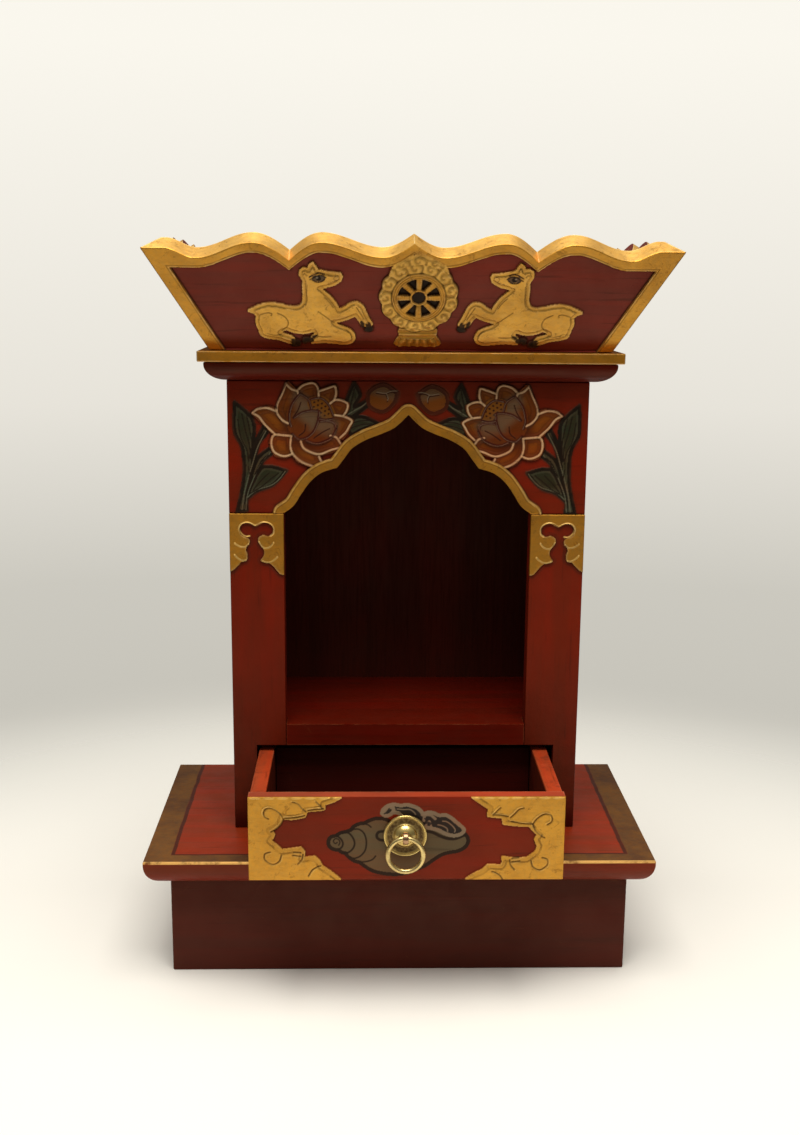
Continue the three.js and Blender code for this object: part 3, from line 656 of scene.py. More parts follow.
ORANGE_WEAR, BROWN_WEAR, PALE_WEAR = (0.4, 0.13, 0.06), (0.22, 0.08, 0.03), (0.6, 0.24, 0.12)
carved_level = carved_finish("carved paint, level grain", LEVEL)
carved_upright = carved_finish("carved paint, upright grain", UPRIGHT)
red_level = painted_wood("red paint, level grain", RED, LEVEL, ORANGE_WEAR)
red_upright = painted_wood("red paint, upright grain", RED, UPRIGHT, ORANGE_WEAR)
moulding_paint = painted_wood("moulding paint", tone("5a180a"), LEVEL, BROWN_WEAR, 0.38)
plinth_level, plinth_deep = [
    painted_wood(f"plinth paint, {grain_way}", tone("45150f"), along, BROWN_WEAR, 0.45, 0.7)
    for grain_way, along in (("level grain", LEVEL), ("grain from front to back", DEEP))]
shelf_paint = painted_wood("niche shelf paint", tone("5e1204"), LEVEL, (0.3, 0.08, 0.03))
# Near-black paint standing in for shade on the drawer's back board, inside the cabinet.
shade_dark_paint = painted_wood("dark stain", tone("3c0a06"), LEVEL, (0.14, 0.03, 0.015), 0.6)
crown_back = painted_wood("crown back paint", tone("6b2f29"), LEVEL, (0.42, 0.24, 0.15), 0.55)
drawer_edge = painted_wood("drawer edge paint", tone("9c452c"), LEVEL, PALE_WEAR, 0.5, 1.2)
# The drawer's sides carry painted shade below their top edge.
drawer_side = painted_wood("drawer side paint", tone("a0401f"), DEEP, PALE_WEAR, 0.5, 1.2,
                           shaded_below=drawer_top - 1)
gold_wood = gilded_wood("gilded board", tone("b98028"))
crown_gold = gilded_wood("gilded crown edge", tone("dfb264"), 0.36)
panel_wood = bare_wood("stained back wood", tone("4c1109"), tone("280604"), (1.0, 1.0, 0.05))
floor_wood = bare_wood("bare plinth wood", tone("7a5436"), tone("462a18"), (0.05, 1.0, 1.0))
drawer_floor = bare_wood("drawer bottom wood", tone("561407"), tone("2c0a04"), (0.05, 1.0, 1.0))
slab_paint = slab_finish("slab paint")
brass = brass_finish("brass", (0.74, 0.57, 0.24))
copper = brass_finish("copper-coloured brass", (0.42, 0.25, 0.14))
turned_brass = brass_finish("turned brass", (0.74, 0.56, 0.2), "tarnish")


# ---------------------------------------------------------------- plain boards
def eased_board(name, node, material, body="cabinet", radius=0.7):
    """A board as a rounded rectangle carried along X: its section is drawn in at both ends by
    r - sqrt(r^2 - (r - s)^2) at a distance s, so that every arris has the same radius r."""
    low, high = box(node)
    centre, half = (low + high) / 2, (high - low) / 2
    turn = np.linspace(0, math.pi / 2, 5)
    s = radius * (1 - np.cos(turn))
    inset = radius - np.sqrt(np.clip(radius ** 2 - (radius - s) ** 2, 0, None))
    x = np.concatenate([-half[0] + s, (half[0] - s)[::-1]])[:, None]
    inset = np.concatenate([inset, inset[::-1]])[:, None]
    angle = np.concatenate([turn + quarter * math.pi / 2 for quarter in range(4)])
    side_y = np.repeat([1, -1, -1, 1], len(turn))
    side_z = np.repeat([1, 1, -1, -1], len(turn))
    corner = radius - inset * 0.95
    y = side_y * (half[1] - inset - corner) + corner * np.cos(angle)
    z = side_z * (half[2] - inset - corner) + corner * np.sin(angle)
    mesh = ring_mesh(name, centre[0] + x, centre[1] + y, centre[2] + z)
    smooth = np.ones((len(x) - 1, len(angle)), bool)
    smooth[len(s) - 1, len(turn) - 1::len(turn)] = False
    mesh.polygons.foreach_set("use_smooth", np.append(smooth, [False, False]))
    add_piece(name, mesh, [material], body, node)


def edged_board(name, node, lip, tuck, material):
    """A slab whose front and ends have an upright lip and a quarter ellipse tucking under it:
    rings of four corners, drawn in by tuck (1 - cos a) and down by the fall times sin a."""
    low, high = box(node)
    turn, under = np.linspace(0, math.pi / 2, 5), np.linspace(0, math.pi / 2, 22)[1:]
    arris = 0.6
    lip_foot = high[2] - lip
    drawn = np.concatenate([arris * (1 - np.sin(turn)), [0.0], tuck * (1 - np.cos(under))])
    level = np.concatenate([high[2] - arris * (1 - np.cos(turn)), [lip_foot],
                            lip_foot - (lip_foot - low[2]) * np.sin(under)])
    left, right = low[0] + drawn, high[0] - drawn
    front, back = low[1] + drawn, np.full(len(drawn), high[1])
    mesh = ring_mesh(name, np.column_stack([left, left, right, right]),
                     np.column_stack([front, back, back, front]), level[:, None])
    smooth = np.append(np.tile([True, False, True, True], len(drawn) - 1), [False, False])
    mesh.polygons.foreach_set("use_smooth", smooth)
    add_piece(name, mesh, [material], "cabinet", node)


def plain_boards():
    """The plinth, the body's sides, the moulding, the gold strip and the drawer's boards. The moulding
    tucks in under its lip to the width of the body below it."""
    for side in ("front", "back"):
        eased_board(f"plinth_board_{side}", f"plinth_{side}", plinth_level)
    for side in ("left", "right"):
        eased_board(f"plinth_board_{side}", f"plinth_{side}", plinth_deep)
        eased_board(f"body_side_{side}", f"side_{side}", red_upright)
        eased_board(f"drawer_side_{side}", f"drawer_{side}", drawer_side, "drawer", 0.6)
    eased_board("drawer_back_board", "drawer_back", shade_dark_paint, "drawer", 0.6)
    eased_board("gilded_strip", "gold_strip", gold_wood, radius=0.6)
    edged_board("slab_board", "slab", 2.0, 12.0, slab_paint)
    tuck = span_x(*box("moulding"))[1] - body_half
    edged_board("moulding_board", "moulding", 1.0, tuck, moulding_paint)


# ---------------------------------------------------------------- carved arch with lotus sprays
ARCH = [
    [[66, 248.15], [60.5, 252.3], [56.5, 258.5], [51.5, 265.3], [45.5, 270], [37.5, 272.6]],
    [[34, 277.2], [29.5, 283], [22.5, 287.4], [14, 290.8], [7, 294.2], [0, 300.8]],
]
# Each petal and leaf is a few strokes that meet at its corners, back to front.
OUTER_PETALS = [
    [[[-58, 307], [-58, 313.8]], [[-55, 315.9], [-50.3, 317], [-47.9, 315], [-46.8, 307]]],
    [[[-47, 307], [-46.3, 313]], [[-42, 314.7], [-38.4, 315.4]], [[-38, 311], [-40, 306]]],
    [[[-43, 305], [-38.5, 308.2], [-31.8, 306.4]], [[-32.4, 303], [-36, 298]]],
    [[[-41, 300], [-35, 300.3], [-29.6, 297.4]], [[-33, 290.8], [-36, 288.2], [-41, 289.7]]],
    [[[-61.8, 289.4], [-70.5, 290.2]], [[-72.3, 285.5], [-69.8, 279.6], [-65, 278.6], [-61.2, 279.8]]],
    [[[-55, 289], [-61.8, 289], [-62.6, 284.5], [-58.5, 277], [-50.5, 273.4]],
     [[-46.4, 275.8], [-49, 283]]],
    [[[-50, 290], [-56.7, 286.6], [-53, 281.4], [-47.5, 279.8], [-35.7, 283]],
     [[-37.6, 288.2], [-42, 290]]],
    [[[-61.5, 289.2], [-70, 290.3], [-75, 295.4], [-81.4, 301.3]], [[-73, 304], [-67, 301], [-60, 296]]],
    [[[-62.8, 316.9], [-66.6, 309], [-68, 303], [-65.3, 296.9], [-62, 296]], [[-55, 305], [-58, 312.6]]],
]
INNER_PETALS = [
    [[[-58.3, 311.7], [-62.6, 302], [-62.4, 294], [-59, 289]],
     [[-50, 303], [-52.5, 307.6], [-58.3, 311.7]]],
    [[[-57.5, 288], [-61.3, 293.5], [-55, 302.3], [-47.3, 300.8]], [[-50.3, 291.3], [-57.5, 288]]],
    [[[-47, 297], [-42.5, 297.2], [-38.4, 295.6]], [[-41.2, 288.8], [-47, 285.9], [-54, 287.6]]],
]
SEED_POD = [[[-51.6, 303.5], [-51, 308.6], [-43.4, 308.7], [-39.2, 301]], [[-46.8, 298], [-51.6, 303.5]]]
LEAVES = [
    [[[-90.6, 249], [-87, 266], [-87.2, 282], [-91.3, 292], [-91, 306.8]],
     [[-81.6, 297.5], [-81.8, 282.7], [-82.5, 270], [-85.4, 257], [-85.4, 249]]],
    [[[-85.6, 255.5], [-83, 263], [-76.5, 273], [-64.3, 271]],
     [[-71.5, 263.4], [-80, 260], [-85.6, 255.5]]],
    [[[-83, 278], [-79.6, 287.5], [-76.2, 294]], [[-74, 291.6], [-78.5, 285.6], [-81, 277]]],
    [[[-83, 268], [-79.4, 277.5], [-72.8, 283]], [[-71.6, 280.4], [-77, 275.4], [-82, 264.5]]],
    [[[-34, 300], [-32.2, 309], [-28.6, 317.6]], [[-25.4, 311], [-28.4, 305], [-21.4, 308.4]],
     [[-21.6, 305.4], [-30.5, 299]]],
    [[[-32, 293], [-28.4, 299], [-22.5, 299.2], [-15.5, 296]],
     [[-25, 292.6], [-29.6, 290.2], [-32, 293]]],
]
BUD = [
    [[-6, 312], [-13, 316.3], [-20.4, 312.6], [-20.6, 305.6], [-13.6, 302.4], [-7.8, 306.8], [-6, 312]],
]
LEAF_VEINS = [
    [[-89.5, 298], [-88, 288.5], [-85, 282], [-84, 276]],
    [[-87.3, 301], [-85.4, 291.5], [-83.6, 285], [-83.2, 278]],
    [[-84.8, 300], [-83.2, 292], [-82.4, 286], [-82.6, 279]],
    [[-83, 259], [-78, 262], [-72.5, 266.6], [-68.5, 269.6]],
    [[-82, 260.4], [-78, 265.4], [-73.4, 269.8]], [[-82.4, 262.6], [-80, 267.6], [-77.4, 271.4]],
    [[-31, 293.2], [-26, 295.2], [-19.5, 296]], [[-31, 295.4], [-26, 297.4], [-21, 297.6]],
    [[-30.6, 303.6], [-29.6, 309], [-28.4, 314.6]], [[-29.2, 302.6], [-28, 306], [-27.6, 310]],
    [[-80.6, 283], [-78, 288], [-75.4, 291.8]], [[-80.8, 269], [-77, 275.2], [-73.6, 279.2]],
    [[-87.6, 262], [-86.6, 268], [-85.6, 274]], [[-84.4, 262], [-83.6, 268], [-84.4, 273]],
]
STEM_STRIPES = [
    [[-88, 250], [-86.8, 258], [-84.8, 266], [-82, 275], [-79.6, 282.6], [-76.6, 288.6], [-74.8, 292]],
    [[-86, 250], [-85, 258], [-82, 266], [-78.2, 273.6], [-72.6, 280.6]],
    [[-84.8, 256.8], [-80, 260.6], [-72, 263.4], [-67.5, 267.2], [-65, 270.6]],
    [[-32.4, 300.4], [-29, 302.6], [-24.6, 305], [-21.6, 307.6]],
]
PETAL_RIMS = [
    [[-64, 317], [-66, 311.6], [-68.6, 306], [-68.8, 301.6], [-66.4, 298], [-63, 296]],
    [[-64, 316.6], [-61.2, 314], [-58.4, 313], [-57.6, 311.6]],
    [[-58, 313.4], [-55, 316], [-50.3, 317.2], [-47.6, 315], [-47, 310]],
    [[-46.6, 313], [-42, 314.6], [-38.6, 315.4], [-38, 311.6], [-39, 308.2]],
    [[-41, 306.6], [-38.5, 308.4], [-35, 308.2], [-32, 306.4], [-32.4, 303], [-34, 300.6]],
    [[-39, 300.5], [-34, 299.8], [-29.8, 297.6], [-31, 294.8], [-33, 291.4], [-36, 288.5]],
    [[-41, 289.7], [-38, 288.8], [-36, 286.2], [-35, 285]],
    [[-56.6, 286.8], [-55, 283], [-50, 280.4], [-46, 280], [-41, 282], [-36, 283.4]],
    [[-61.6, 289], [-62, 284], [-60.5, 279.6], [-56, 275.6], [-50.2, 273.4]],
    [[-47, 278.6], [-46.2, 276.8], [-45.4, 275.6]],
    [[-61.4, 289.4], [-66, 289.8], [-70.6, 289.8], [-72, 286], [-71, 281.6], [-68, 279.4],
     [-64.6, 278.8], [-61, 280]], [[-70, 290.3], [-75, 295], [-78.4, 299.4], [-81.8, 301.3]],
    [[-81.8, 301.3], [-79, 303.4], [-74, 304], [-69, 302.2]],
]
INNER_LINES = [
    [[-56.8, 311.6], [-52.4, 308.4], [-50.8, 303]],
    [[-56.8, 311.6], [-61, 306], [-62.6, 299], [-61.6, 294.6]],
    [[-60, 299], [-56, 301.6], [-51, 302.8], [-46.8, 302.4]],
    [[-46.8, 302.4], [-47.6, 297], [-50, 291.6], [-54, 288.4], [-58, 288], [-61, 290.6]],
    [[-46.6, 297.2], [-42.4, 297.4], [-39, 296.2], [-38, 293]],
    [[-38, 293], [-40.6, 288.6], [-46, 286], [-50, 285.8], [-54, 287.4]],
    [[-51, 308.8], [-46, 309.4], [-42, 306], [-39.6, 300.4]],
    [[-47, 298.6], [-43.4, 298], [-39.8, 298.6]],
]
INNER_STROKES = [
    [[-56.4, 307], [-58, 302.8], [-60.6, 299]], [[-54, 295.6], [-54.6, 292], [-57.4, 289.6]],
    [[-41.4, 293.4], [-45, 291.6], [-49.6, 288.4]],
]
BUD_FOLDS = [[[-6, 312.6], [-9.6, 312.4], [-12.4, 311.4], [-17, 312]],
             [[-12, 311.4], [-11, 309], [-11.2, 307.6]]]
FLOWER_HEART = (-52.0, 296.0)
ARCH_BAND_REACH = 5.4


def lay_leaf(face, strokes):
    """A leaf: domed across, dark, with a black outline and a thin pale line inside it."""
    depth = face.depth(outline(strokes))
    face.lay(depth, LEAF - 0.3 + 0.35 * swell(depth, 1.6), SAGE, shade=0.8)
    face.paint(np.minimum(depth - 0.5, 0.95 - depth), PALE_SAGE, 0.3, 0.75)
    face.paint(0.45 - depth + 10 * np.minimum(depth, 0), BLACK, 0.3, 0.9 * ease(depth / 0.3 + 1.6))


def lay_petal(face, strokes, level):
    """An outer petal: a shallow hollow, amber at its edge and umber towards the flower's heart."""
    depth = face.depth(outline(strokes))
    rim = ease((1.5 - depth) / 0.6)
    hollow = 0.3 * (1 - rim) - 0.14 * ease((depth - 1.5) / 3)
    face.lay(depth, level + 0.1 - hollow, AMBER, shade=0.65)
    heart = np.hypot(face.x - FLOWER_HEART[0], face.z - FLOWER_HEART[1])
    face.paint(depth, UMBER, 0.6, 0.7 * (1 - ease((heart - 9) / 12)))
    face.paint(depth - 2.6, tone("8e4f12"), 2.4, 0.6 * ease((heart - 12) / 6))


def lay_inner_petal(face, strokes, level, tip, light):
    """An inner petal: a smooth dome, buff on the side towards the light and amber behind."""
    points = outline(strokes)
    depth = face.depth(points)
    face.lay(depth, level + 0.3 * swell(depth, 1.8), AMBER * 0.8 + UMBER * 0.2, shade=0.6)
    centre = (points.min(0) + points.max(0)) / 2
    across = (face.x - centre[0]) * light[0] + (face.z - centre[1]) * light[1]
    face.paint(np.minimum(depth + 1, across + tip), BUFF, 5.5, 0.85)


def lay_seed_pod(face, level):
    """The seed pod: a low dome with rows of dark pits."""
    depth = face.depth(outline(SEED_POD))
    u, v = face.x * 0.92 + face.z * 0.38, face.z * 0.92 - face.x * 0.38
    row = np.floor(v / 2.1)
    pit = np.hypot((u / 2.3 + row * 0.5) % 1 - 0.5, v / 2.1 - row - 0.5) * 2.2
    face.lay(depth, level + 0.35 * swell(depth, 1.8), POD)
    face.height -= 0.18 * ease((depth - 0.7) / 0.4) * ease((0.75 - pit) / 0.4)
    face.paint(np.minimum(0.55 - pit, depth - 0.7), UMBER * 0.6, 0.3)


def lay_bud(face):
    """The bud: a dome, buff above and amber below, with a thin pale outline and dark folds."""
    bud = face.depth(outline(BUD))
    face.lay(bud, LEAF - 0.25 + 0.6 * swell(bud, 2.5), tone("7c430f"), shade=0.3)
    face.paint(np.minimum(bud, (face.z - 310) + (face.x + 13) * 0.3), BUFF, 5, 0.75)
    face.paint(np.minimum(bud + 0.1, 0.5 - bud), WINE, 0.3, 0.9)
    face.paint(np.minimum(bud - 0.5, 0.85 - bud), ASH, 0.3, 0.6)
    for line in BUD_FOLDS:
        face.bead(spline(line), 0.5, -0.12, UMBER)
        face.bead(spline(line) + [0.2, 0.7], 0.4, 0.1, ASH)


def lay_spray(face):
    """Leaves, then the outer petals, the inner petals and the pod, each a little prouder than the last;
    then the thin raised lines that edge them."""
    for strokes in LEAVES:
        lay_leaf(face, strokes)
    for stripe in STEM_STRIPES:
        face.bead(spline(stripe), 0.5, 0.14, PALE_SAGE)
    # The veins are cut in and painted black, with dirt and painted shade in them.
    for vein in LEAF_VEINS:
        face.bead(spline(vein), 0.5, -0.12, BLACK, 0.3)
    lay_bud(face)
    for order, strokes in enumerate(OUTER_PETALS):
        lay_petal(face, strokes, PETAL + LAYER * (order % 3))
    lay_inner_petal(face, INNER_PETALS[0], PETAL + 2 * LAYER, 0.0, (0.75, 0.45))
    lay_seed_pod(face, PETAL + 3 * LAYER)
    lay_inner_petal(face, INNER_PETALS[1], PETAL + 4 * LAYER, -1.0, (0.6, 0.75))
    lay_inner_petal(face, INNER_PETALS[2], PETAL + 4 * LAYER, 0.5, (0.3, 0.9))
    # Each raised rim has a line of painted shade just outside it.
    for line in PETAL_RIMS:
        face.grime_and_shade_line(distance_to(face.x, face.z, spline(line), 3) - 1.05, 0.4, 0.3)
        face.bead(spline(line), 0.95, 0.36, CREAM)
    for line in INNER_LINES:
        face.brush(spline(line), 0.72, WINE, 0.95)
        face.bead(spline(line) + [0.25, -0.2], 0.36, 0.12, ASH * 0.5 + WINE * 0.5)
    for line in INNER_STROKES:
        face.bead(spline(line), 0.6, -0.14, UMBER, 0.2)


def carved_arch():
    """The board over the niche. Its columns rise from the ogee, or from the springing beside it, to
    the board's top, so the grid follows the opening. Both sprays are worked at once by folding x."""
    half_line = np.vstack([outline(ARCH, 10), ARCH[1][-1]])
    niche, corner = BODY["niche"], ARCH[0][-1][0]
    x = stretch([-body_half, -niche, -corner, 0, corner, niche, body_half], 0.38)
    bottom = np.interp(np.abs(x), half_line[::-1, 0], half_line[::-1, 1])
    bottom = np.where(np.abs(x) < niche, bottom, arch_low[2])[:, None]
    rise = np.concatenate([[0, 0.005], np.linspace(0.01, 0.99, 176), [0.995, 1]])
    x = np.repeat(x[:, None], len(rise), 1)
    z = bottom + (arch_high[2] - bottom) * rise
    left = x < -0.5
    face = Face(np.where(left, x, -1 - x), np.where(left, z, z + 0.8), 0, RED)
    lay_spray(face)
    face.x, face.z = x, z
    gap = distance_to(np.abs(x), z, half_line, ARCH_BAND_REACH + 2)
    band = BAND - 0.25 + 0.2 * ease((gap - 4.1) / 0.5) - 0.12 * ease((4.2 - gap) / 0.4)
    face.lay(ARCH_BAND_REACH - gap, band, DULL_GOLD)
    # Painted shade where the band steps down on its inner side, and a broken painted highlight along its
    # outer edge.
    face.grime_and_shade_line(gap - 4.15, 0.7, 0.22)
    broken = 0.15 * np.sin(x * 0.7 + z * 0.5) ** 4
    face.paint(0.32 - np.abs(gap - 4.9) - broken, HIGHLIGHT_GOLD, 0.3, 0.75)
    face.age_with_painted_light(3, 1.1, 1.3)
    upright_plate("carved_arch", "arch_board", "cabinet", [carved_level, red_level, panel_wood], face,
                  body_x, BODY["front"], BODY["front"] + BODY["board"])


# ---------------------------------------------------------------- pillars with gilded collars
OPENING = [
    [[97, 40], [97, 214]], [[92.4, 216.6], [89.6, 219.2], [88.4, 220.8]],
    [[86, 221.2], [84.7, 223], [84.5, 225.6], [85.2, 228]],
    [[84.9, 229.6], [83.6, 231], [83.1, 233], [83.9, 235], [86, 235.9], [88, 237], [88.6, 239.2],
     [87.4, 241.4], [85, 242], [82.9, 241], [81.4, 239.9]],
    [[79.6, 241.2], [77.2, 242.1], [74.4, 241.7], [72.6, 239.9], [72.8, 237.7]],
    [[74.4, 236.8], [76.8, 237.4], [79.2, 236.5], [80.8, 234.5], [80.5, 232], [79.2, 230], [77.8, 228.2]],
    [[77.7, 226], [78.6, 224.3], [79.5, 222.8], [79, 221.3], [76.6, 220.3], [74.2, 220]],
    [[72.4, 218.4], [70.3, 215.7], [68.4, 213.9], [66.2, 213.6]], [[63, 213.6]], [[63, 40]], [[97, 40]],
]
CLOUD_BEADS = [
    [[84.4, 235.5], [86.2, 235.3], [88.2, 236.4], [89.6, 238.5], [89.7, 240.6], [88.2, 242.4],
     [85.6, 243.1], [83.2, 242.4], [81.3, 241.4], [79.6, 242], [77, 243.2], [74.4, 243], [72.3, 241.6],
     [71.4, 239.4], [71.7, 237.1], [73, 235.9]],
    [[92.2, 231.8], [90.6, 230.6], [88.6, 229.8], [86.6, 229.9], [84.8, 231.3]],
    [[92.4, 225.5], [91, 223.9], [89.4, 222.8], [87.8, 222.4], [86.4, 222.6]],
    [[79.2, 232.4], [78, 230.3], [76.4, 229.2], [74.4, 229.4], [72.8, 230.5], [71.5, 232.2]],
    [[77.3, 222.1], [75.4, 221.4], [73.4, 221.5], [71.4, 222.6], [69.6, 224.4]],
]
CLOUD_EDGES = [
    [[73.4, 236], [75, 236.4], [77, 236.7], [79.2, 235.8], [80.3, 234], [79.8, 231.9], [78.5, 229.8],
     [77.2, 228], [77.1, 226]],
    [[85.6, 235.3], [84.1, 234.4], [83.7, 232.6], [84.4, 230.8], [85.5, 229.4], [85.7, 227.6],
     [85.1, 225.4], [85.4, 223.2]], [[96, 215.2], [92.8, 217.1], [90.2, 219.4]],
    [[73.8, 219.2], [71.9, 217.4], [70, 215.3]],
]
COLLAR_FOOT, COLLAR_TOP = 211, 249.0


def lay_collar(face):
    """The collar: a gold panel with a cloud-shaped opening, the opening's curls edged with raised lines."""
    depth = np.where(face.z < COLLAR_FOOT, -6, -face.depth(outline(OPENING), 6) - 0.4)
    face.lay(depth, COLLAR - 0.42 + 0.22 * ease(np.clip(depth, 0, None) / 0.8), DULL_GOLD, 0.45, 0.3)
    within = ease(depth / 0.4)
    for line in CLOUD_EDGES:
        face.bead(spline(line), 0.55, 0.14)
    for line in CLOUD_BEADS:
        curve = spline(line)
        groove = curve + (curve.mean(0) - curve) * 0.16 - [0, 0.15]
        # The groove beside each bead is darkened with dirt and painted shade, and the bead's upper side
        # carries a painted highlight.
        sunk = within * ease(1 - distance_to(face.x, face.z, groove, 0.8) / 0.8)
        face.grime_and_shade += 0.5 * sunk
        face.height -= 0.16 * sunk
        face.bead(curve, 0.78, 0.36)
        face.brush(curve + [0, 0.12], 0.46, HIGHLIGHT_GOLD, 1.0)
    # A broken painted highlight runs along the collar's top edge.
    below = COLLAR_TOP - face.z
    face.paint(0.4 - np.abs(below - 0.5) - 0.3 * np.sin(face.x * 0.9) ** 8, HIGHLIGHT_GOLD, 0.3, 0.85)
    face.height += 0.12 * ease((0.9 - np.abs(below - 0.6)) / 0.4)


def carved_pillar(name, side, node):
    """A pillar and its collar: fine rows over the collar, wide ones below, and the drawer's bay left out.
    It is worked as the right one, and turned over for the left."""
    low_z, top, niche, bay = pillar_low[2], box(node)[1][2], BODY["niche"], BODY["bay"]
    across = np.concatenate([[niche], stretch([niche + 0.25, bay, body_half - 0.25], 0.24), [body_half]])
    up = np.concatenate([[low_z], stretch([low_z + 0.3, BODY["bay_top"], 212], 12),
                         stretch([212.25, top - 0.25], 0.24), [top]])
    face = Face(*np.meshgrid(across, up, indexing="ij"), 0, RED)
    lay_collar(face)
    # Painted shade: the pillar darkens towards its foot.
    face.grime_and_shade += 0.62 * ease((190 - face.z) / 110)
    face.age_with_painted_light(4, 1.0, 1.4)
    row, column = np.argmin(np.abs(up - BODY["bay_top"])), np.argmin(np.abs(across - bay))
    outer = grid_corners(face.x)
    keep = np.ones(outer[2], bool)
    keep[:column, :row] = False
    corners = [(column, 0), *outer[1:], (0, row), (column, row)]
    if side < 0:
        for layer in ("x", "z", "height", "coat", "grime_and_shade", "wear_and_highlight"):
            setattr(face, layer, getattr(face, layer)[::-1])
        face.x, keep = -face.x, keep[::-1]
        corners = [(outer[2][0] - c, r) for c, r in corners[::-1]]
    upright_plate(name, node, "cabinet", [carved_upright, red_upright, panel_wood], face,
                  body_x, BODY["front"], BODY["front"] + BODY["board"], corners, keep)


# ---------------------------------------------------------------- crown
# Each stretch of the scalloped edge: where it starts and ends across the board, its high and low
# places up the board, and how it eases from one to the other.
SCALLOPS = [
    (0, 15.2, 61.2, 53.7, lambda t: 1 - np.sin(np.pi * t / 2)),
    (15.2, 45, 61.5, 53.7, lambda t: (1 - np.cos(np.pi * t)) / 2),
    (45, 61, 61.5, 51.8, lambda t: np.cos(np.pi * t / 2)),
    (61, 78.5, 61.2, 51.8, lambda t: np.sin(np.pi * t / 2)),
    (78.5, 106.5, 61.2, 52.8, lambda t: (1 + np.cos(np.pi * t)) / 2),
    (106.5, 121, 58, 52.8, lambda t: (1 - np.cos(np.pi * t)) / 2),
]
SCALLOP_STOPS = [start for start, *_ in SCALLOPS] + [SCALLOPS[-1][1]]
DEER_MIDDLE = 1.5
SIDE_NOTCH = 46.75
SIDE_SAG, SAG_REACH = 2.0, 45.5
TIP_HEIGHT = 58.0


def scallop_height(x):
    """Height of the scalloped edge, up the leaning board, at a place across it."""
    x = np.abs(x)
    height = np.full(x.shape, TIP_HEIGHT)
    for start, end, high, low, shape in SCALLOPS:
        within = (x >= start) & (x < end)
        height[within] = low + (high - low) * shape((x[within] - start) / (end - start))
    return height


def inner_edge(x):
    """The edge that the border's inner line follows: level with the last dip from there outwards."""
    return scallop_height(np.minimum(np.abs(x), SCALLOPS[-1][0]))


DEER = [
    [[39.2, 44.2], [42.5, 44.4], [46, 44.9], [50.6, 45.9]], [[51.4, 48], [52.7, 49.9]],
    [[53.9, 48.6], [54.6, 46.2]], [[56.6, 47], [58.4, 46]], [[58.6, 43.6], [57, 40.4]],
    [[57.2, 36], [57.2, 31], [58, 27.4], [60.6, 25.3], [65, 25.3], [70, 26.6], [75, 27], [79.6, 25.8],
     [84.9, 23.1]], [[82.4, 22], [80.8, 20.3]],
    [[81.3, 16.6], [80.2, 12.4], [79, 9], [75.5, 7.6], [70.6, 6.8], [66.6, 5.2], [63.4, 4.4]],
    [[63.2, 6.4], [64.4, 8.2]], [[68, 9.4], [70.2, 10.6], [68.6, 12], [66.6, 12.8]],
    [[62, 10.9], [57, 10.7], [53, 12]], [[51.8, 10], [53.2, 8.4]], [[54, 6.8], [53.6, 4.8]],
    [[48, 5.3], [42, 4.8], [37, 4.3], [33.6, 5.5], [32.6, 8.4], [34.2, 11.6], [37.6, 13.6],
     [41.2, 15.2], [43, 17]], [[38.8, 18], [35, 19.4], [31.8, 21]], [[30.2, 19], [28.6, 16.2]],
    [[26, 15], [23.8, 15.8]],
    [[25.4, 19], [27, 22.8], [28.4, 26], [31, 27.9], [34.2, 27.3], [37.2, 24.9], [40.2, 23.6]],
    [[41.8, 27.4], [44.8, 31.6], [49.6, 36.2]], [[45.6, 37.4], [42.2, 38.6], [39.4, 40.6]],
    [[38.8, 42.4], [39.2, 44.2]],
]
HOOVES = [
    [[25.4, 15.8, 1.4], [24.6, 13, 1.5], [26.4, 12.2, 0.9]], [[28.4, 16.8, 1.1], [28, 14.6, 0.9]],
    [[51.6, 8.6, 0.9], [53, 8.2, 0.9]], [[54.4, 6.4, 1.5], [57, 6.4, 1.5], [57.8, 4.8, 0.9]],
    [[63.4, 5.6, 1.5], [61.4, 4.2, 1.6], [63.6, 3.2, 0.9]],
]
DEER_CREASES = [
    [[70.8, 22.2], [67.2, 20.2], [65.6, 17.2], [66.3, 14.2], [69, 11.8]],
    [[50.4, 23.4], [46.8, 20.4], [44.4, 18.2], [42.4, 16.6]],
    [[74, 20.8], [73.7, 22], [76, 22.4], [79.4, 21.2]], [[36.6, 12.4], [34.4, 10.4], [33.8, 8]],
    [[44.2, 8.6], [47.4, 8.4], [51, 8.8]], [[31.2, 25.8], [29.6, 23], [27.4, 19]],
    [[69.4, 9.6], [73, 9.2], [76.4, 10.2]], [[55.6, 38], [55.9, 34], [55.8, 30], [56.6, 26.8]],
    [[42.8, 25.6], [44.4, 28.4], [47, 31.4]], [[55.4, 43.4], [56.6, 44.6], [57.2, 44]],
    [[51.8, 46.6], [52.6, 48], [53.4, 46.6]],
]
EYE_LINES = [
    [[47, 44.2], [49.4, 44.9], [52, 44.2], [54.2, 42.8]],
    [[46.2, 42.4], [48, 43.6], [50.6, 43.5], [52.4, 42.3], [54, 41.4]],
    [[46.8, 41.6], [48.6, 40.2], [51, 40.1], [52.8, 41.2]],
]
MUZZLE_LINES = [
    [[40, 43.4], [41.8, 43], [42.4, 41.8], [41.4, 40.8]], [[39.6, 41.4], [41.8, 40.6], [45, 39.4]],
]


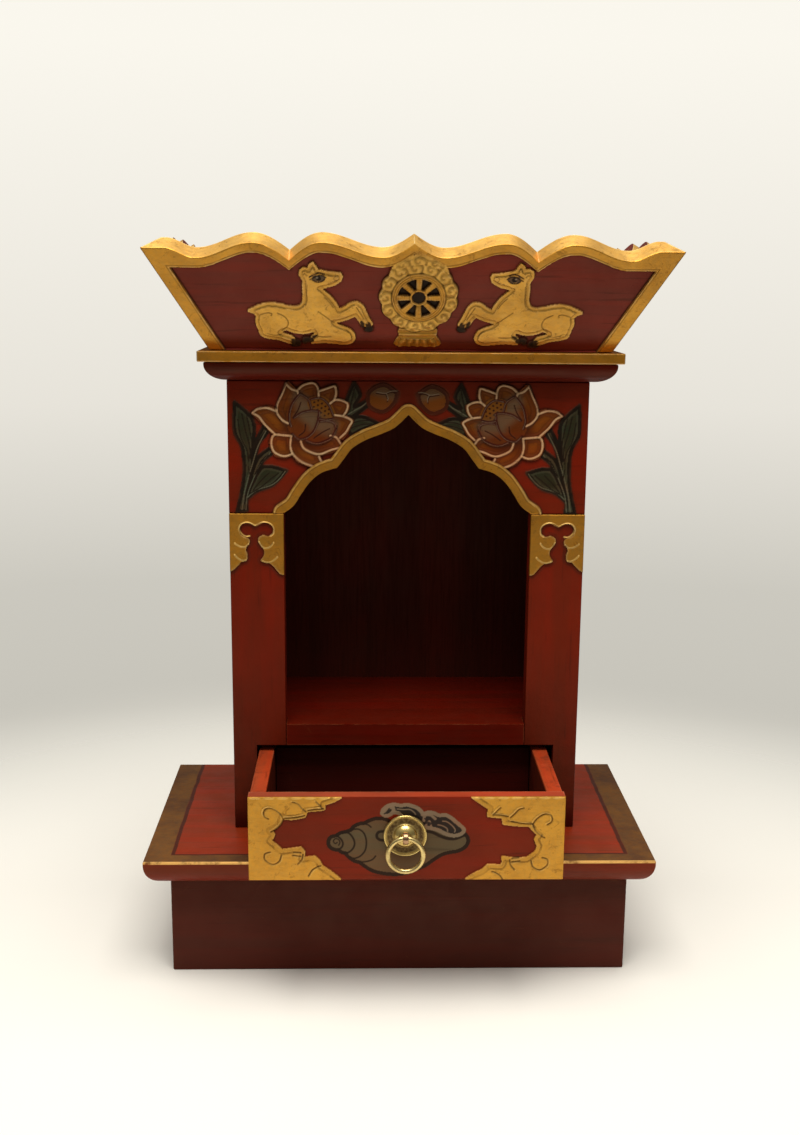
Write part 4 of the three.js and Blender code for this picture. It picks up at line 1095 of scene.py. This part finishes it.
def lay_deer(face):
    """Both kneeling deer, facing the wheel: worked on the distance from their shared axis."""
    unfolded = face.x
    face.x = np.abs(unfolded - DEER_MIDDLE) + DEER_MIDDLE
    a, v = face.x, face.z
    depth = face.depth(outline(DEER, 6), 3)
    near = (a > 18) & (a < 92) & (v < 30)
    hoof = np.full(a.shape, -3.0)
    for joints in HOOVES:
        hoof[near] = np.maximum(hoof[near], limb_depth(a[near], v[near], joints))
    face.lay(hoof, -0.6, BLACK, 0.6, 0.4)
    rounded = 0.45 * ease(np.clip(depth, 0, None) / 0.45) + 0.35 * ease(np.clip(depth, 0, None) / 8)
    # A strong line of painted shade runs round each deer's outline.
    face.lay(depth, rounded - 0.5, tone("dfab50", 1), 0.5, 1.0)
    face.paint(np.minimum(hoof, 1.0 - depth + 9 * np.minimum(depth, 0)), BLACK, 0.4, 0.95)
    # The creases are cut in, with dirt and painted shade.
    for line in DEER_CREASES:
        face.bead(spline(line), 0.45, -0.16, dirt_and_shade=0.65)
    face.paint(limb_depth(a, v, [[48, 41.9, 1.5], [51.4, 42.2, 1.6]]), tone("6b5b44"))
    face.paint(depth_in_circle(a, v, (49.8, 42), 1.3), BLACK)
    face.paint(depth_in_circle(a, v, (50.5, 42.4), 0.45), tone("b3a68c"))
    for line in EYE_LINES:
        face.brush(spline(line), 0.36, BLACK)
    for line in MUZZLE_LINES:
        face.brush(spline(line), 0.12, UMBER, 0.9)
    face.x = unfolded


WHEEL = (2.8, 31.6)
HUB, FELLOE, WREATH, CREST_CURLS = 4.3, 13.2, 16.4, 20.2
CREST = [
    [-14.2, 11.6], [-12.6, 16.4], [-8.6, 19.4], [-5.2, 21.4], [0, 23.4], [5.2, 21.4], [8.8, 19.4],
    [12.8, 16.4], [14.2, 11.6],
]
PEDESTAL = [
    [-7.6, -17], [-9, -19], [-8.4, -22], [-6, -23.4], [6, -23.4], [8.4, -22], [9, -19], [7.6, -17],
    [6, -14], [-6, -14],
]
FOOT = [
    [-6.4, -20], [-9.2, -23.4], [-11, -27.4], [-7.6, -28.2], [0, -28], [7.6, -28.2], [11, -27.4],
    [9.2, -23.4], [6.4, -20],
]


def curl_relief(angle, radius, count, ring, turn=1.75):
    """A wreath of curls: in each sector, one arm of a spiral winds round the sector's own centre."""
    sector = (angle * count / (2 * np.pi)) % 1 - 0.5
    across, out = sector * 2 * np.pi * ring / count, radius - ring
    reach = np.hypot(across, out)
    return np.cos(turn * reach - np.arctan2(out, across)), 0.25 * (1 - ease(reach / 4))


def lay_wheel(face):
    """The eight-spoked wheel: dark openings between spokes, a lined rim, a wreath and crest of curls,
    and below it a pedestal on a fluted foot."""
    x, z = face.x - WHEEL[0], face.z - WHEEL[1]
    near = (np.abs(x) < 26) & (np.abs(z) < 34)
    radius, angle = np.hypot(x, z), np.arctan2(z, x)
    flutes, band = 0.3 * np.cos(np.arctan2(x, z + 12) * 26), 0.28 * np.cos(2 * np.pi * (z + 18.4) / 3.1)
    for shape, level, relief, dirt_and_shade, trough in ((FOOT, -0.9, flutes, 0.5, -flutes / 0.3 - 0.2),
                                               (PEDESTAL, -0.35, band, 0.4, -band * 3 - 0.3)):
        depth = depth_inside(x, z, spline(shape + shape[:1])[:-1], 5)
        face.lay(np.where(near, depth, -5), level + relief + 0.3 * ease(depth / 1.5), GOLD, 0.5, 0.8)
        # Dirt and painted shade in the troughs of the flutes and bands.
        face.grime_and_shade += np.where(near, dirt_and_shade * ease(depth / 0.5) * ease(trough), 0)
    wreath, wreath_dome = curl_relief(angle, radius, 13, WREATH)
    crest, crest_dome = curl_relief(angle - 0.12, radius, 15, CREST_CURLS)
    outer = radius > 18.4
    curl, dome = np.where(outer, crest, wreath), np.where(outer, crest_dome, wreath_dome)
    edge = 18.6 + 1.1 * np.abs(np.sin(13 * angle / 2)) - radius
    mass = np.maximum(edge, depth_inside(x, z, spline(CREST), 5))
    relief = 0.2 * curl + dome + 0.25 * ease(mass / 1.2)
    face.lay(np.where(near, mass, -5), relief - 0.2, tone("eab95e", 1), 0.5, 0.9)
    # Dirt and painted shade in the grooves between the curls.
    grooves = ease(-curl * 1.2 - 0.1) * ease(mass / 0.4)
    face.grime_and_shade += np.where(near & (mass > 0) & (radius > 13), 0.34 * grooves, 0)
    lines = 0.14 * np.cos(2 * np.pi * (radius - 10.7) / 1.15)
    face.lay(FELLOE - radius, 0.6 + lines, GOLD, 0.5, 0.8)
    # Dirt and painted shade between the rim's lines.
    face.grime_and_shade += np.where((radius < FELLOE) & (radius > 10.9), 0.45 * ease(-lines * 8 - 0.2), 0)
    from_spoke = (angle / (np.pi / 4) + 0.5) % 1 - 0.5
    spoke = 1.15 + 0.06 * (radius - 4) - np.abs(np.sin(from_spoke * np.pi / 4)) * radius
    window = np.minimum(10.6 - radius, -spoke)
    face.lay(window - 0.4, -1.2, BLACK, 0.45, 0.3)
    face.paint(window - 0.05, BLACK)
    face.lay(HUB - radius, 0.45, GOLD, 0.4, 0.4)
    face.lay(3.2 - radius, -0.3, BLACK, 0.35, 0.2)
    face.grime_and_shade = np.clip(face.grime_and_shade, 0, 1)


def leaning_board(name, node, frame_place, limits, top, stops, step, carve):
    """A leaning board of the crown. A place on it is (u across, v up, n out of the face). Its columns
    are straight lines from the foot to the scalloped edge, so its ends follow the mitres."""
    lean, thick = CROWN["lean"], CROWN["board"]
    foot = lambda n: (GAP + n * math.sin(lean)) / math.cos(lean)
    width = stops[-1] - stops[0]
    share = stretch([(s - stops[0]) / width for s in stops], step / width)
    top_u = (stops[0] + share * width)[:, None]
    low, high = limits(foot(0), 0)
    foot_u = low + share[:, None] * (high - low)
    rise = np.concatenate([[0, 0.006], np.linspace(0.012, 0.988, int(58 / step)), [0.994, 1]])
    u = foot_u + (top_u - foot_u) * rise
    v = foot(0) + (top(top_u) - foot(0)) * rise
    face = carve(u, v)
    face.age_with_painted_light(3, 0.6, 1.2)
    places = frame_place(u, v, eased(face.height, 0.35))
    rim = rim_path(grid_corners(places), u.shape[1])
    rim_u, rim_v = u.ravel()[rim], v.ravel()[rim]
    at_foot = np.arange(len(rim)) < len(u)
    rings = []
    for n in (-0.45, -thick):
        ring_v = np.where(at_foot, foot(n), rim_v)
        rings.append(frame_place(np.clip(rim_u, *limits(ring_v, n)), ring_v, np.full(len(rim), n)))
    mesh = closed_plate(name, places, face, rim, rings)
    merge_doubles(mesh)
    add_piece(name, mesh, [carved_level, crown_gold, crown_back], "cabinet", node)


def border(u, v, edge_gap, end_gap):
    """The sunk field and the gold border round it, with a fine line cut near the border's inner edge."""
    face = Face(u, v, -FIELD, MAROON)
    gold = np.maximum(CROWN["band"] - edge_gap, CROWN["side_band"] - end_gap)
    face.lay(gold, 0.0, GOLD, 0.5, 0.8)
    # The cut line is darkened with dirt and painted shade.
    face.height -= 0.16 * np.exp(-((gold - 0.95) / 0.22) ** 2)
    face.grime_and_shade_line(gold - 0.95, 0.5, 0.22)
    return face


def crown_front():
    """The front board, from mitre to mitre, with the deer and the wheel."""
    half, slope, slant = CROWN["half"], math.sin(CROWN["lean"]), math.cos(CROWN["lean"])

    def limits(v, n):
        reach = half - GAP / 2 + v * slope + n * slant
        return -reach, reach

    def place(u, v, n):
        return np.stack([u + CROWN["x"], CROWN["front"] - v * slope - n * slant,
                         CROWN["foot"] + v * slant - n * slope], -1)

    def carve(u, v):
        face = border(u, v, inner_edge(u) - v, half + v * slope - np.abs(u))
        lay_deer(face)
        lay_wheel(face)
        return face

    tip = limits(TIP_HEIGHT, 0)[1]
    stops = sorted({-tip, tip} | {sign * stop for stop in SCALLOP_STOPS for sign in (-1, 1)})
    leaning_board("crown_front_board", "crown_front", place, limits, scallop_height, stops, 0.41, carve)


def crown_side(name, node, side):
    """A side board, from the front mitre to its square back end, with a plain sunk field. Its edge is
    the front's from a notch outwards, mirrored about that notch and sagging by a parabola between dips."""
    slope, slant = math.sin(CROWN["lean"]), math.cos(CROWN["lean"])
    corner, back = CROWN["front"] + GAP / 2, CROWN["back"]
    notch, middle = SCALLOP_STOPS[3], CROWN["front"] + SIDE_NOTCH

    def limits(v, n):
        front = corner - v * slope - n * slant
        return (front, back + 0 * front) if side > 0 else (-back + 0 * front, -front)

    def place(u, v, n):
        out = CROWN["half"] + v * slope + n * slant
        return np.stack([CROWN["x"] + side * out, side * u, CROWN["foot"] + v * slant - n * slope], -1)

    def top(u, edge=scallop_height):
        away = side * u - middle
        return edge(notch + np.abs(away)) - SIDE_SAG * np.clip(1 - (away / SAG_REACH) ** 2, 0, None)

    def carve(u, v):
        y = side * u
        return border(u, v, top(u, inner_edge) - v, np.minimum(y - (corner - v * slope), back - y))

    low, high = map(float, limits(np.array(TIP_HEIGHT), 0))
    turns = [side * (middle + sign * (stop - notch)) for stop in SCALLOP_STOPS[3:] for sign in (-1, 1)]
    stops = [low, *sorted({turn for turn in turns if low + 1 < turn < high - 1}), high]
    leaning_board(name, node, place, limits, top, stops, 0.8, carve)


# ---------------------------------------------------------------- drawer
LEFT_SCROLL = [
    [[-34, 114.5], [-37.5, 112.6], [-42, 111]], [[-42.3, 108.3]], [[-51, 107.5]], [[-52, 104.5]],
    [[-57, 103.4], [-61.5, 103.5], [-63, 104.4]], [[-64.4, 100.8], [-66.4, 98.6], [-69.5, 96.8]],
    [[-67.8, 94.4], [-69.6, 91.2]], [[-66, 88], [-63.6, 85.6]], [[-59, 86.2], [-54, 86.9]],
    [[-52.5, 84.6], [-53.3, 81.3]], [[-47, 82]], [[-45, 80], [-43.5, 77]], [[-38.5, 73.4], [-34, 69.6]],
]
RIGHT_SCROLL = [
    [[33.5, 114.5], [37.5, 111.6], [42, 108.5]], [[41.5, 104.6]], [[49, 103.8]], [[49.5, 100.4]],
    [[56, 99.6], [62.5, 99.4]], [[65, 96.4], [67.5, 94]], [[66, 91.6], [67.4, 88]],
    [[66, 84.4], [61.5, 80.9]], [[55, 80.7], [49.4, 81.6]], [[49.6, 79], [48.6, 76.8]], [[42, 77.3]],
    [[39, 74.5], [36, 73]], [[33.4, 71.4], [31, 69.6]],
]
SCROLL_BEADS = [
    [[-70.9, 103.7], [-72.8, 105], [-73.3, 106.8], [-72.3, 108.9], [-69.3, 109.4], [-65.7, 107.1],
     [-63.6, 103.7], [-64.9, 100.4], [-67.6, 97.9], [-69.6, 96.6]],
    [[-62.8, 104], [-57.5, 104.4], [-52.6, 105.4]],
    [[-58.6, 112.7], [-56.2, 111.9], [-53.9, 109.4], [-52, 107.6]],
    [[-46.8, 112.9], [-45.3, 111.4], [-43.6, 109.2]], [[-50.8, 108.2], [-47, 108.8], [-43, 109]],
]
SCROLL_GROOVES = [
    [[-69.5, 85], [-72.1, 84], [-72.3, 81.2], [-70, 78.9], [-67.6, 78.3], [-64.8, 80.1], [-63.8, 83.2]],
    [[-50, 71.9], [-48.2, 75], [-45.6, 76.8], [-43.9, 77.4]],
    [[-55.3, 78.6], [-53.4, 80.9], [-52.8, 83.7]], [[-58, 83.2], [-54, 82.6]],
    [[-57.4, 84.9], [-54, 84.6]],
]
CONCH = [
    [[-35.6, 93.6], [-38.6, 92.9], [-40, 90], [-38.9, 87.2], [-36.6, 86], [-34.8, 85.9]],
    [[-33, 84.5], [-31, 84]], [[-30.2, 82.5], [-28.4, 81]], [[-26.6, 79.7], [-24, 79]],
    [[-21, 76.6], [-17, 74.2], [-12, 72.9], [-6, 72.3], [0, 73], [6, 75.4], [10, 77.4], [14, 80.4],
     [18, 83], [22, 84.3], [26, 85], [29.4, 86.8], [31.2, 89.4], [31.2, 92], [29.8, 94.4]],
    [[20, 99], [8, 101], [-8, 101]], [[-11, 102.5], [-15, 103], [-19, 101.8], [-21.6, 100.4]],
    [[-24, 100.1], [-26.8, 98.7], [-28.6, 96.5]], [[-31, 95.8], [-34, 95], [-35.6, 93.6]],
]
CONCH_LIP = [
    [[-12.6, 105.6], [-12, 107.8], [-9.6, 109.7], [-6.6, 110.4], [-3, 109.9], [0, 110.3], [3, 109.4],
     [5.4, 108.4], [7.4, 106.4], [8, 104.9]],
    [[10.4, 106], [13.4, 105.8], [16.4, 104.5], [19.6, 104.7], [22.6, 103], [25.8, 100.2], [28.8, 97.4],
     [28.8, 95.4], [26.6, 93.9], [23.4, 93.5], [19.6, 94.6], [16, 96.5], [12.4, 97.5], [9, 98.2]],
    [[0, 102], [-4, 105.6]], [[-7, 106.2], [-8.6, 104.9], [-10.8, 104.3], [-12.6, 105.6]],
]
# The shell's dark strokes: half the width of the brush, then the line.
SHELL_STROKES = [
    (0.5, [[-35.6, 93.6], [-33.6, 91.9], [-32.5, 89.6], [-33, 87.4], [-34.8, 85.9]]),
    (0.34, [[-34.6, 88.4], [-34, 90], [-34.8, 91.6], [-36.4, 91.9], [-37.3, 90.6], [-36.4, 89.3],
     [-35.4, 89.9]]),
    (0.5, [[-33.6, 95], [-30, 95.2], [-27.6, 92.8], [-26.5, 89.4], [-27.5, 86.4], [-30, 84.3],
     [-32.6, 84.3]]),
    (0.45, [[-28.6, 96.5], [-25, 97.2], [-22, 95.2], [-20.6, 91], [-21, 86], [-23.4, 82.6],
     [-26.6, 81.2], [-29.4, 82]]), (0.42, [[-22.4, 100.2], [-19.8, 99.5], [-18.2, 98.2]]),
    (0.42, [[-24, 79.1], [-20.6, 79.4], [-17.6, 80.4], [-15.8, 82.4]]),
    (0.75, [[-11.6, 95.9], [-14, 95.6], [-15.2, 94.2], [-15, 92.4], [-13.4, 91.2], [-11.4, 91]]),
    (0.85, [[9, 96], [13, 95.3], [17, 93.3], [21, 91.9], [25, 91.9], [29.4, 93.8]]),
]
LIP_STROKES = [
    (0.95, [[-11.6, 105.8], [-10.6, 108], [-7.6, 109], [-6.8, 107.6]]),
    (0.7, [[8.6, 101.6], [9.2, 104.4], [12, 104.6], [14.4, 102.6]]),
    (0.27, [[-5, 108], [-1.6, 107.7], [1.4, 107.7], [3.6, 106.2], [4.4, 105]]),
    (0.28, [[18.2, 101.4], [20.4, 101], [23, 99], [24.6, 96.8], [24.4, 95.4]]),
    (0.28, [[15.8, 99.4], [18.2, 98.8], [20.4, 97.4], [20.8, 95.8]]),
    (0.45, [[9.4, 98.9], [11.4, 101.4], [12.4, 98.6]]),
]
LIP_SHADOWS = [
    (0.4, [[-11.4, 105.4], [-10.2, 106.4], [-9, 108.2]]), (0.4, [[9, 102.8], [10.6, 102], [12, 103.4]]),
    (0.7, [[8.6, 100.2], [10.4, 100.6], [12, 100]]),
]

CARVING_DEPTH = 1.0


def lay_scroll(face, strokes, closing, beads, grooves):
    """One side's gilded scrollwork: it runs off the board's edges, so only its scrolled side has a rim."""
    depth = face.depth(np.vstack([outline(strokes), closing]), 3)
    inner = np.where(depth > 0, depth, 9)
    face.lay(depth, 0.8 + 0.14 * ease((0.9 - inner) / 0.3), GOLD, 0.35, 0.5)
    # Painted highlight just inside the scroll's rim.
    rim_light = np.minimum(0.75 - inner, inner - 0.15) - 0.25 * np.sin(face.x * 0.8 + face.z * 0.5) ** 4
    face.paint(rim_light, HIGHLIGHT_GOLD, 0.3, 0.7)
    # A cut line near the rim, darkened with dirt and painted shade.
    broken = 0.45 + 0.55 * ease(np.sin(face.x * 0.55 - face.z * 0.4) + 0.6)
    face.height -= 0.24 * broken * np.exp(-((inner - 1.25) / 0.36) ** 2)
    face.grime_and_shade_line(inner - 1.25, 0.75 * broken, 0.4)
    # Each bead has a painted highlight on its crown and a cut below it darkened with dirt and painted shade;
    # each groove has dirt and painted shade, and a painted highlight beside it.
    for line in beads:
        face.bead(spline(line), 0.62, 0.24)
        face.brush(spline(line) + [0, 0.1], 0.2, HIGHLIGHT_GOLD, 0.6)
        face.bead(spline(line) + [0.75, -0.65], 0.7, -0.28, dirt_and_shade=0.85)
    for line in grooves:
        face.bead(spline(line), 0.75, -0.3, dirt_and_shade=0.85)
        face.brush(spline(line) + [0.5, -0.55], 0.22, HIGHLIGHT_GOLD, 0.5)


def paint_conch(face):
    """The painted conch: an olive body with dark strokes, and a dark lip with pale ones."""
    body = face.depth(outline(CONCH), 3)
    face.paint(body, OLIVE)
    face.paint(0.42 - np.abs(body), BLACK, 0.3, 0.95)
    for brush, line in SHELL_STROKES:
        face.brush(spline(line), brush, BLACK, 0.95)
    lip = face.depth(outline(CONCH_LIP), 3)
    face.paint(lip, SLATE)
    face.paint(0.24 - np.abs(lip - 0.1), ASH, 0.3, 0.95)
    for strokes, coat, strength in ((LIP_STROKES, ASH, 0.92), (LIP_SHADOWS, SLATE, 0.9)):
        for brush, line in strokes:
            face.brush(spline(line), brush, coat, strength)


def drawer_face():
    """The drawer's front board, with the hole for the pull's pin left to the rosette that covers it."""
    middle, half = span_x(drawer_low, drawer_high)
    low, high = drawer_low[2], drawer_high[2]
    across = np.concatenate([[-half], stretch([-half + 0.3, half - 0.3], 0.29), [half]])
    up = np.concatenate([[low], stretch([low + 0.3, high - 0.3], 0.29), [high]])
    face = Face(*np.meshgrid(across, up, indexing="ij"), 0, RED)
    paint_conch(face)
    far, under, over = half + 10, low - 10, high + 10
    lay_scroll(face, LEFT_SCROLL, [[-34, under], [-far, under], [-far, over], [-34, over]],
               SCROLL_BEADS, SCROLL_GROOVES)
    flip = lambda lines: [[[-a, b - 3.4] for a, b in line] for line in lines]
    lay_scroll(face, RIGHT_SCROLL, [[31, under], [far, under], [far, over], [33.5, over]],
               flip(SCROLL_BEADS), flip(SCROLL_GROOVES))
    gilt = face.coat[..., 3] > 0.5
    # Painted highlight along the gilded top edge, broken in places.
    top_highlight = 0.45 - np.abs(high - 0.5 - face.z) - 0.4 * np.sin(face.x * 0.45) ** 6
    face.paint(np.where(gilt, top_highlight, -1), HIGHLIGHT_GOLD, 0.3, 0.9)
    face.age_with_painted_light(3, 0.9, 0.9)
    upright_plate("drawer_face", "drawer_front", "drawer", [carved_level, drawer_edge, drawer_side], face,
                  middle, drawer_low[1] + CARVING_DEPTH, drawer_high[1], drop=0.25)


# ---------------------------------------------------------------- ring pull
def rosette():
    """The turned backplate: a beaded rim, a tarnished dish with fine turning lines, and a polished dome.
    Its profile (radius, forward) turns about an axis along Y and closes on itself."""
    x, r = span_x(rosette_low, rosette_high)
    plate, hole, steps = rosette_high[1] - rosette_low[1] - 3.5, 1.7, 112
    rim = spline([[r, 0.3], [r, plate], [r - 0.2, plate + 0.4], [r - 0.65, plate + 0.55],
                  [r - 1.1, plate + 0.35], [r - 1.3, plate]], 6)
    dish = spline([[r - 1.3, plate], [r - 2.8, plate - 0.3], [r - 4.3, plate - 0.25], [r - 4.9, plate + 0.1]])
    dome = spline([[r - 4.9, plate + 0.1], [r - 5.3, plate + 1], [r - 6.3, plate + 2.1],
                   [r - 7.8, plate + 3], [hole, plate + 3.4]])
    radius, forward = np.vstack([[[hole, 0]], [[r - 0.3, 0]], rim, dish[1:], dome[1:]]).T[..., None]
    forward = forward + 0.03 * np.cos(radius * 14) * (np.abs(radius - (r - 3)) < 1.6)
    angle = 2 * np.pi * np.arange(steps) / steps
    middle_z = (rosette_low[2] + rosette_high[2]) / 2
    mesh = ring_mesh("pull_backplate", x + radius * np.cos(angle), rosette_high[1] - forward,
                     middle_z + radius * np.sin(angle), closed=True)
    tarnish = np.exp(-((radius - (r - 3.1)) / 1.75) ** 6)
    store(mesh, "tarnish", "FLOAT", np.repeat(tarnish, steps))
    add_piece("pull_backplate", mesh, [turned_brass], "drawer", "pull_rosette")


def split_pin():
    """A split pin: a strip bent into an eye round the ring, its two legs side by side in the drawer front.
    Its rounded section, cos and sin to the power one half, is carried along that path in the y-z plane."""
    wire = 1.3
    eye_y, eye_z = pin_low[1] + 3.1, ring_high[2] - wire
    leg_z = (rosette_low[2] + rosette_high[2]) / 2
    turn = np.linspace(np.radians(42), np.radians(318), 44)[::4]
    loop = np.column_stack([eye_y + 2.4 * np.cos(turn), eye_z + 2.4 * np.sin(turn)])
    legs = [[[pin_high[1], leg_z + apart], [eye_y + 3.4, leg_z + apart]] for apart in (0.55, -0.55)]
    path = spline(np.vstack([legs[0], loop, legs[1][::-1]]), 5)
    tangent = np.gradient(path, axis=0)
    tangent /= np.linalg.norm(tangent, axis=1)[:, None]
    in_eye = ease((eye_y + 3.2 - path[:, :1]) / 2.2)
    wide, thick = 2.2 + 0.6 * in_eye, 0.95 + (wire - 0.95) * in_eye
    angle = 2 * np.pi * np.arange(20) / 20
    across, out = [np.sign(side) * np.sqrt(np.abs(side)) for side in (np.cos(angle), np.sin(angle))]
    mesh = ring_mesh("pull_split_pin", span_x(pin_low, pin_high)[0] + wide / 2 * across,
                     path[:, :1] - tangent[:, 1:] * (thick / 2) * out,
                     path[:, 1:] + tangent[:, :1] * (thick / 2) * out)
    add_piece("pull_split_pin", mesh, [copper], "drawer", "pull_pin")


def pull_ring():
    """The ring: a circle of wire, its section turned round the ring's own circle."""
    wire, reach = (ring_high[1] - ring_low[1]) / 2, span_x(ring_low, ring_high)[1]
    centre = (ring_low + ring_high) / 2
    around, section = 2 * np.pi * np.arange(144)[:, None] / 144, 2 * np.pi * np.arange(28) / 28
    radius = reach - wire + wire * np.cos(section)
    mesh = ring_mesh("pull_ring_wire", centre[0] + radius * np.cos(around),
                     centre[1] + wire * np.sin(section), centre[2] + radius * np.sin(around), closed=True)
    add_piece("pull_ring_wire", mesh, [brass], "ring", "pull_ring")


# ---------------------------------------------------------------- studio
def studio_floor():
    """A pale floor that fades into the light around it."""
    finish = Finish("studio floor")
    colour = finish.mix(finish.patches(0.3, 0.7, 3, 2, 0.55), (0.83, 0.81, 0.77), (0.85, 0.83, 0.79))
    finish.done(colour, 0.9, finish.bump(finish.noise(160, 2), 0.0001, 0.2))
    x, y, z = finish.axes()
    ahead = y + 0.1
    away = finish.math("SQRT", x * x + ahead * ahead)
    blend = finish.add("ShaderNodeMixShader")
    clear = finish.feed(finish.add("ShaderNodeBsdfTransparent"))
    for socket, value in zip(blend.inputs, (finish.span(away, 0.2, 0.62), finish.feed(finish.shader), clear)):
        finish.set(socket, value)
    finish.set(finish.tree.nodes["Material Output"].inputs["Surface"], finish.feed(blend))
    angle = 2 * np.pi * np.arange(96) / 96
    disc = np.column_stack([800 * np.cos(angle), 800 * np.sin(angle), 0 * angle - 0.02])
    mesh = make_mesh("floor", disc, np.zeros((0, 4), int), [np.arange(96)])
    mesh.materials.append(finish.material)
    floor = bpy.data.objects.new("floor", mesh)
    bpy.context.scene.collection.objects.link(floor)


def soft_light(name, place, aim, size, power, colour):
    """A square soft light at a place, in metres, turned to face its aim."""
    lamp = bpy.data.lights.new(name, "AREA")
    lamp.size, lamp.energy, lamp.color = size, power, colour
    light = bpy.data.objects.new(name, lamp)
    light.location = place
    light.rotation_mode = "QUATERNION"
    light.rotation_quaternion = (Vector(aim) - Vector(place)).to_track_quat("-Z", "Y")
    bpy.context.scene.collection.objects.link(light)


def direction_ramp(graph, up, stops):
    """A colour by how far a direction points up: the sine of its elevation, at each stop."""
    low, high = stops[0][0], stops[-1][0]
    share = graph.feed(graph.add("ShaderNodeMapRange"), Value=up, From_Min=low, From_Max=high)
    ramp = graph.add("ShaderNodeValToRGB")
    points = ramp.color_ramp.elements
    points.remove(points[1])
    points[0].position = 0.0
    for place, colour in stops[1:]:
        points.new((place - low) / (high - low))
    for point, (place, colour) in zip(points, stops):
        point.color = (*colour, 1)
    return graph.feed(ramp, Fac=share)


def surroundings():
    """A pale sweep behind the cabinet, seen only by the camera, with painted shade greyest where it meets
    the floor; and a dim room round both that has a pale ceiling."""
    world = bpy.data.worlds.new("surroundings")
    bpy.context.scene.world = world
    world.use_nodes = True
    graph = Graph(world.node_tree)
    direction = graph.feed(graph.add("ShaderNodeTexCoord"), "Generated")
    up = graph.feed(graph.add("ShaderNodeSeparateXYZ"), "Z", Vector=direction)
    seen = direction_ramp(graph, up, [
        (-0.62, (0.97, 0.95, 0.84)), (-0.4, (0.8, 0.78, 0.7)), (-0.31, (0.57, 0.55, 0.49)),
        (-0.22, (0.6, 0.58, 0.52)), (-0.09, (0.8, 0.77, 0.7)), (0.16, (0.96, 0.93, 0.85)),
        (0.6, (0.97, 0.95, 0.88))])
    lit = direction_ramp(graph, up, [
        (-1.0, (0.2, 0.18, 0.15)), (-0.1, (0.12, 0.11, 0.1)), (0.25, (0.16, 0.155, 0.14)),
        (0.8, (0.55, 0.54, 0.5))])
    in_view = graph.feed(graph.add("ShaderNodeLightPath"), "Is Camera Ray")
    graph.feed(graph.tree.nodes["Background"], Color=graph.mix(in_view, lit, seen))


def camera():
    """The viewer's place: a little left of the middle, above the crown's foot and looking down."""
    yaw, pitch, roll = math.radians(1.499), math.radians(-12.285), math.radians(0.473)
    forward = Vector((math.sin(yaw) * math.cos(pitch), math.cos(yaw) * math.cos(pitch), math.sin(pitch)))
    right = forward.cross(Vector((0, 0, 1))).normalized()
    up = right.cross(forward)
    tilted_right = right * math.cos(roll) + up * math.sin(roll)
    tilted_up = up * math.cos(roll) - right * math.sin(roll)
    lens = bpy.data.cameras.new("camera")
    lens.lens, lens.sensor_width = 41.88, 36
    lens.clip_start, lens.clip_end = 0.01, 20
    view = bpy.data.objects.new("camera", lens)
    view.matrix_world = Matrix.Translation((-0.018577, -0.72682, 0.369963)) @ Matrix(
        (tilted_right, tilted_up, -forward)).transposed().to_4x4()
    bpy.context.scene.collection.objects.link(view)
    bpy.context.scene.camera = view


# ---------------------------------------------------------------- assembly
for node, material in (("back_panel", panel_wood), ("plinth_floor", floor_wood),
                       ("drawer_bottom", drawer_floor), ("niche_shelf", shelf_paint)):
    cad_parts[node].material_slots[0].material = material

plain_boards()
carved_arch()
carved_pillar("carved_pillar_right", 1, "pillar_right")
carved_pillar("carved_pillar_left", -1, "pillar_left")
crown_front()
crown_side("crown_side_board_right", "crown_right", 1)
crown_side("crown_side_board_left", "crown_left", -1)
drawer_face()
rosette()
split_pin()
pull_ring()
studio_floor()
surroundings()
soft_light("overhead", (0.0, -0.35, 1.5), (0, 0, 0.15), 1.1, 28, (1.0, 0.96, 0.88))
camera()
bpy.context.scene.view_settings.view_transform = "Standard"
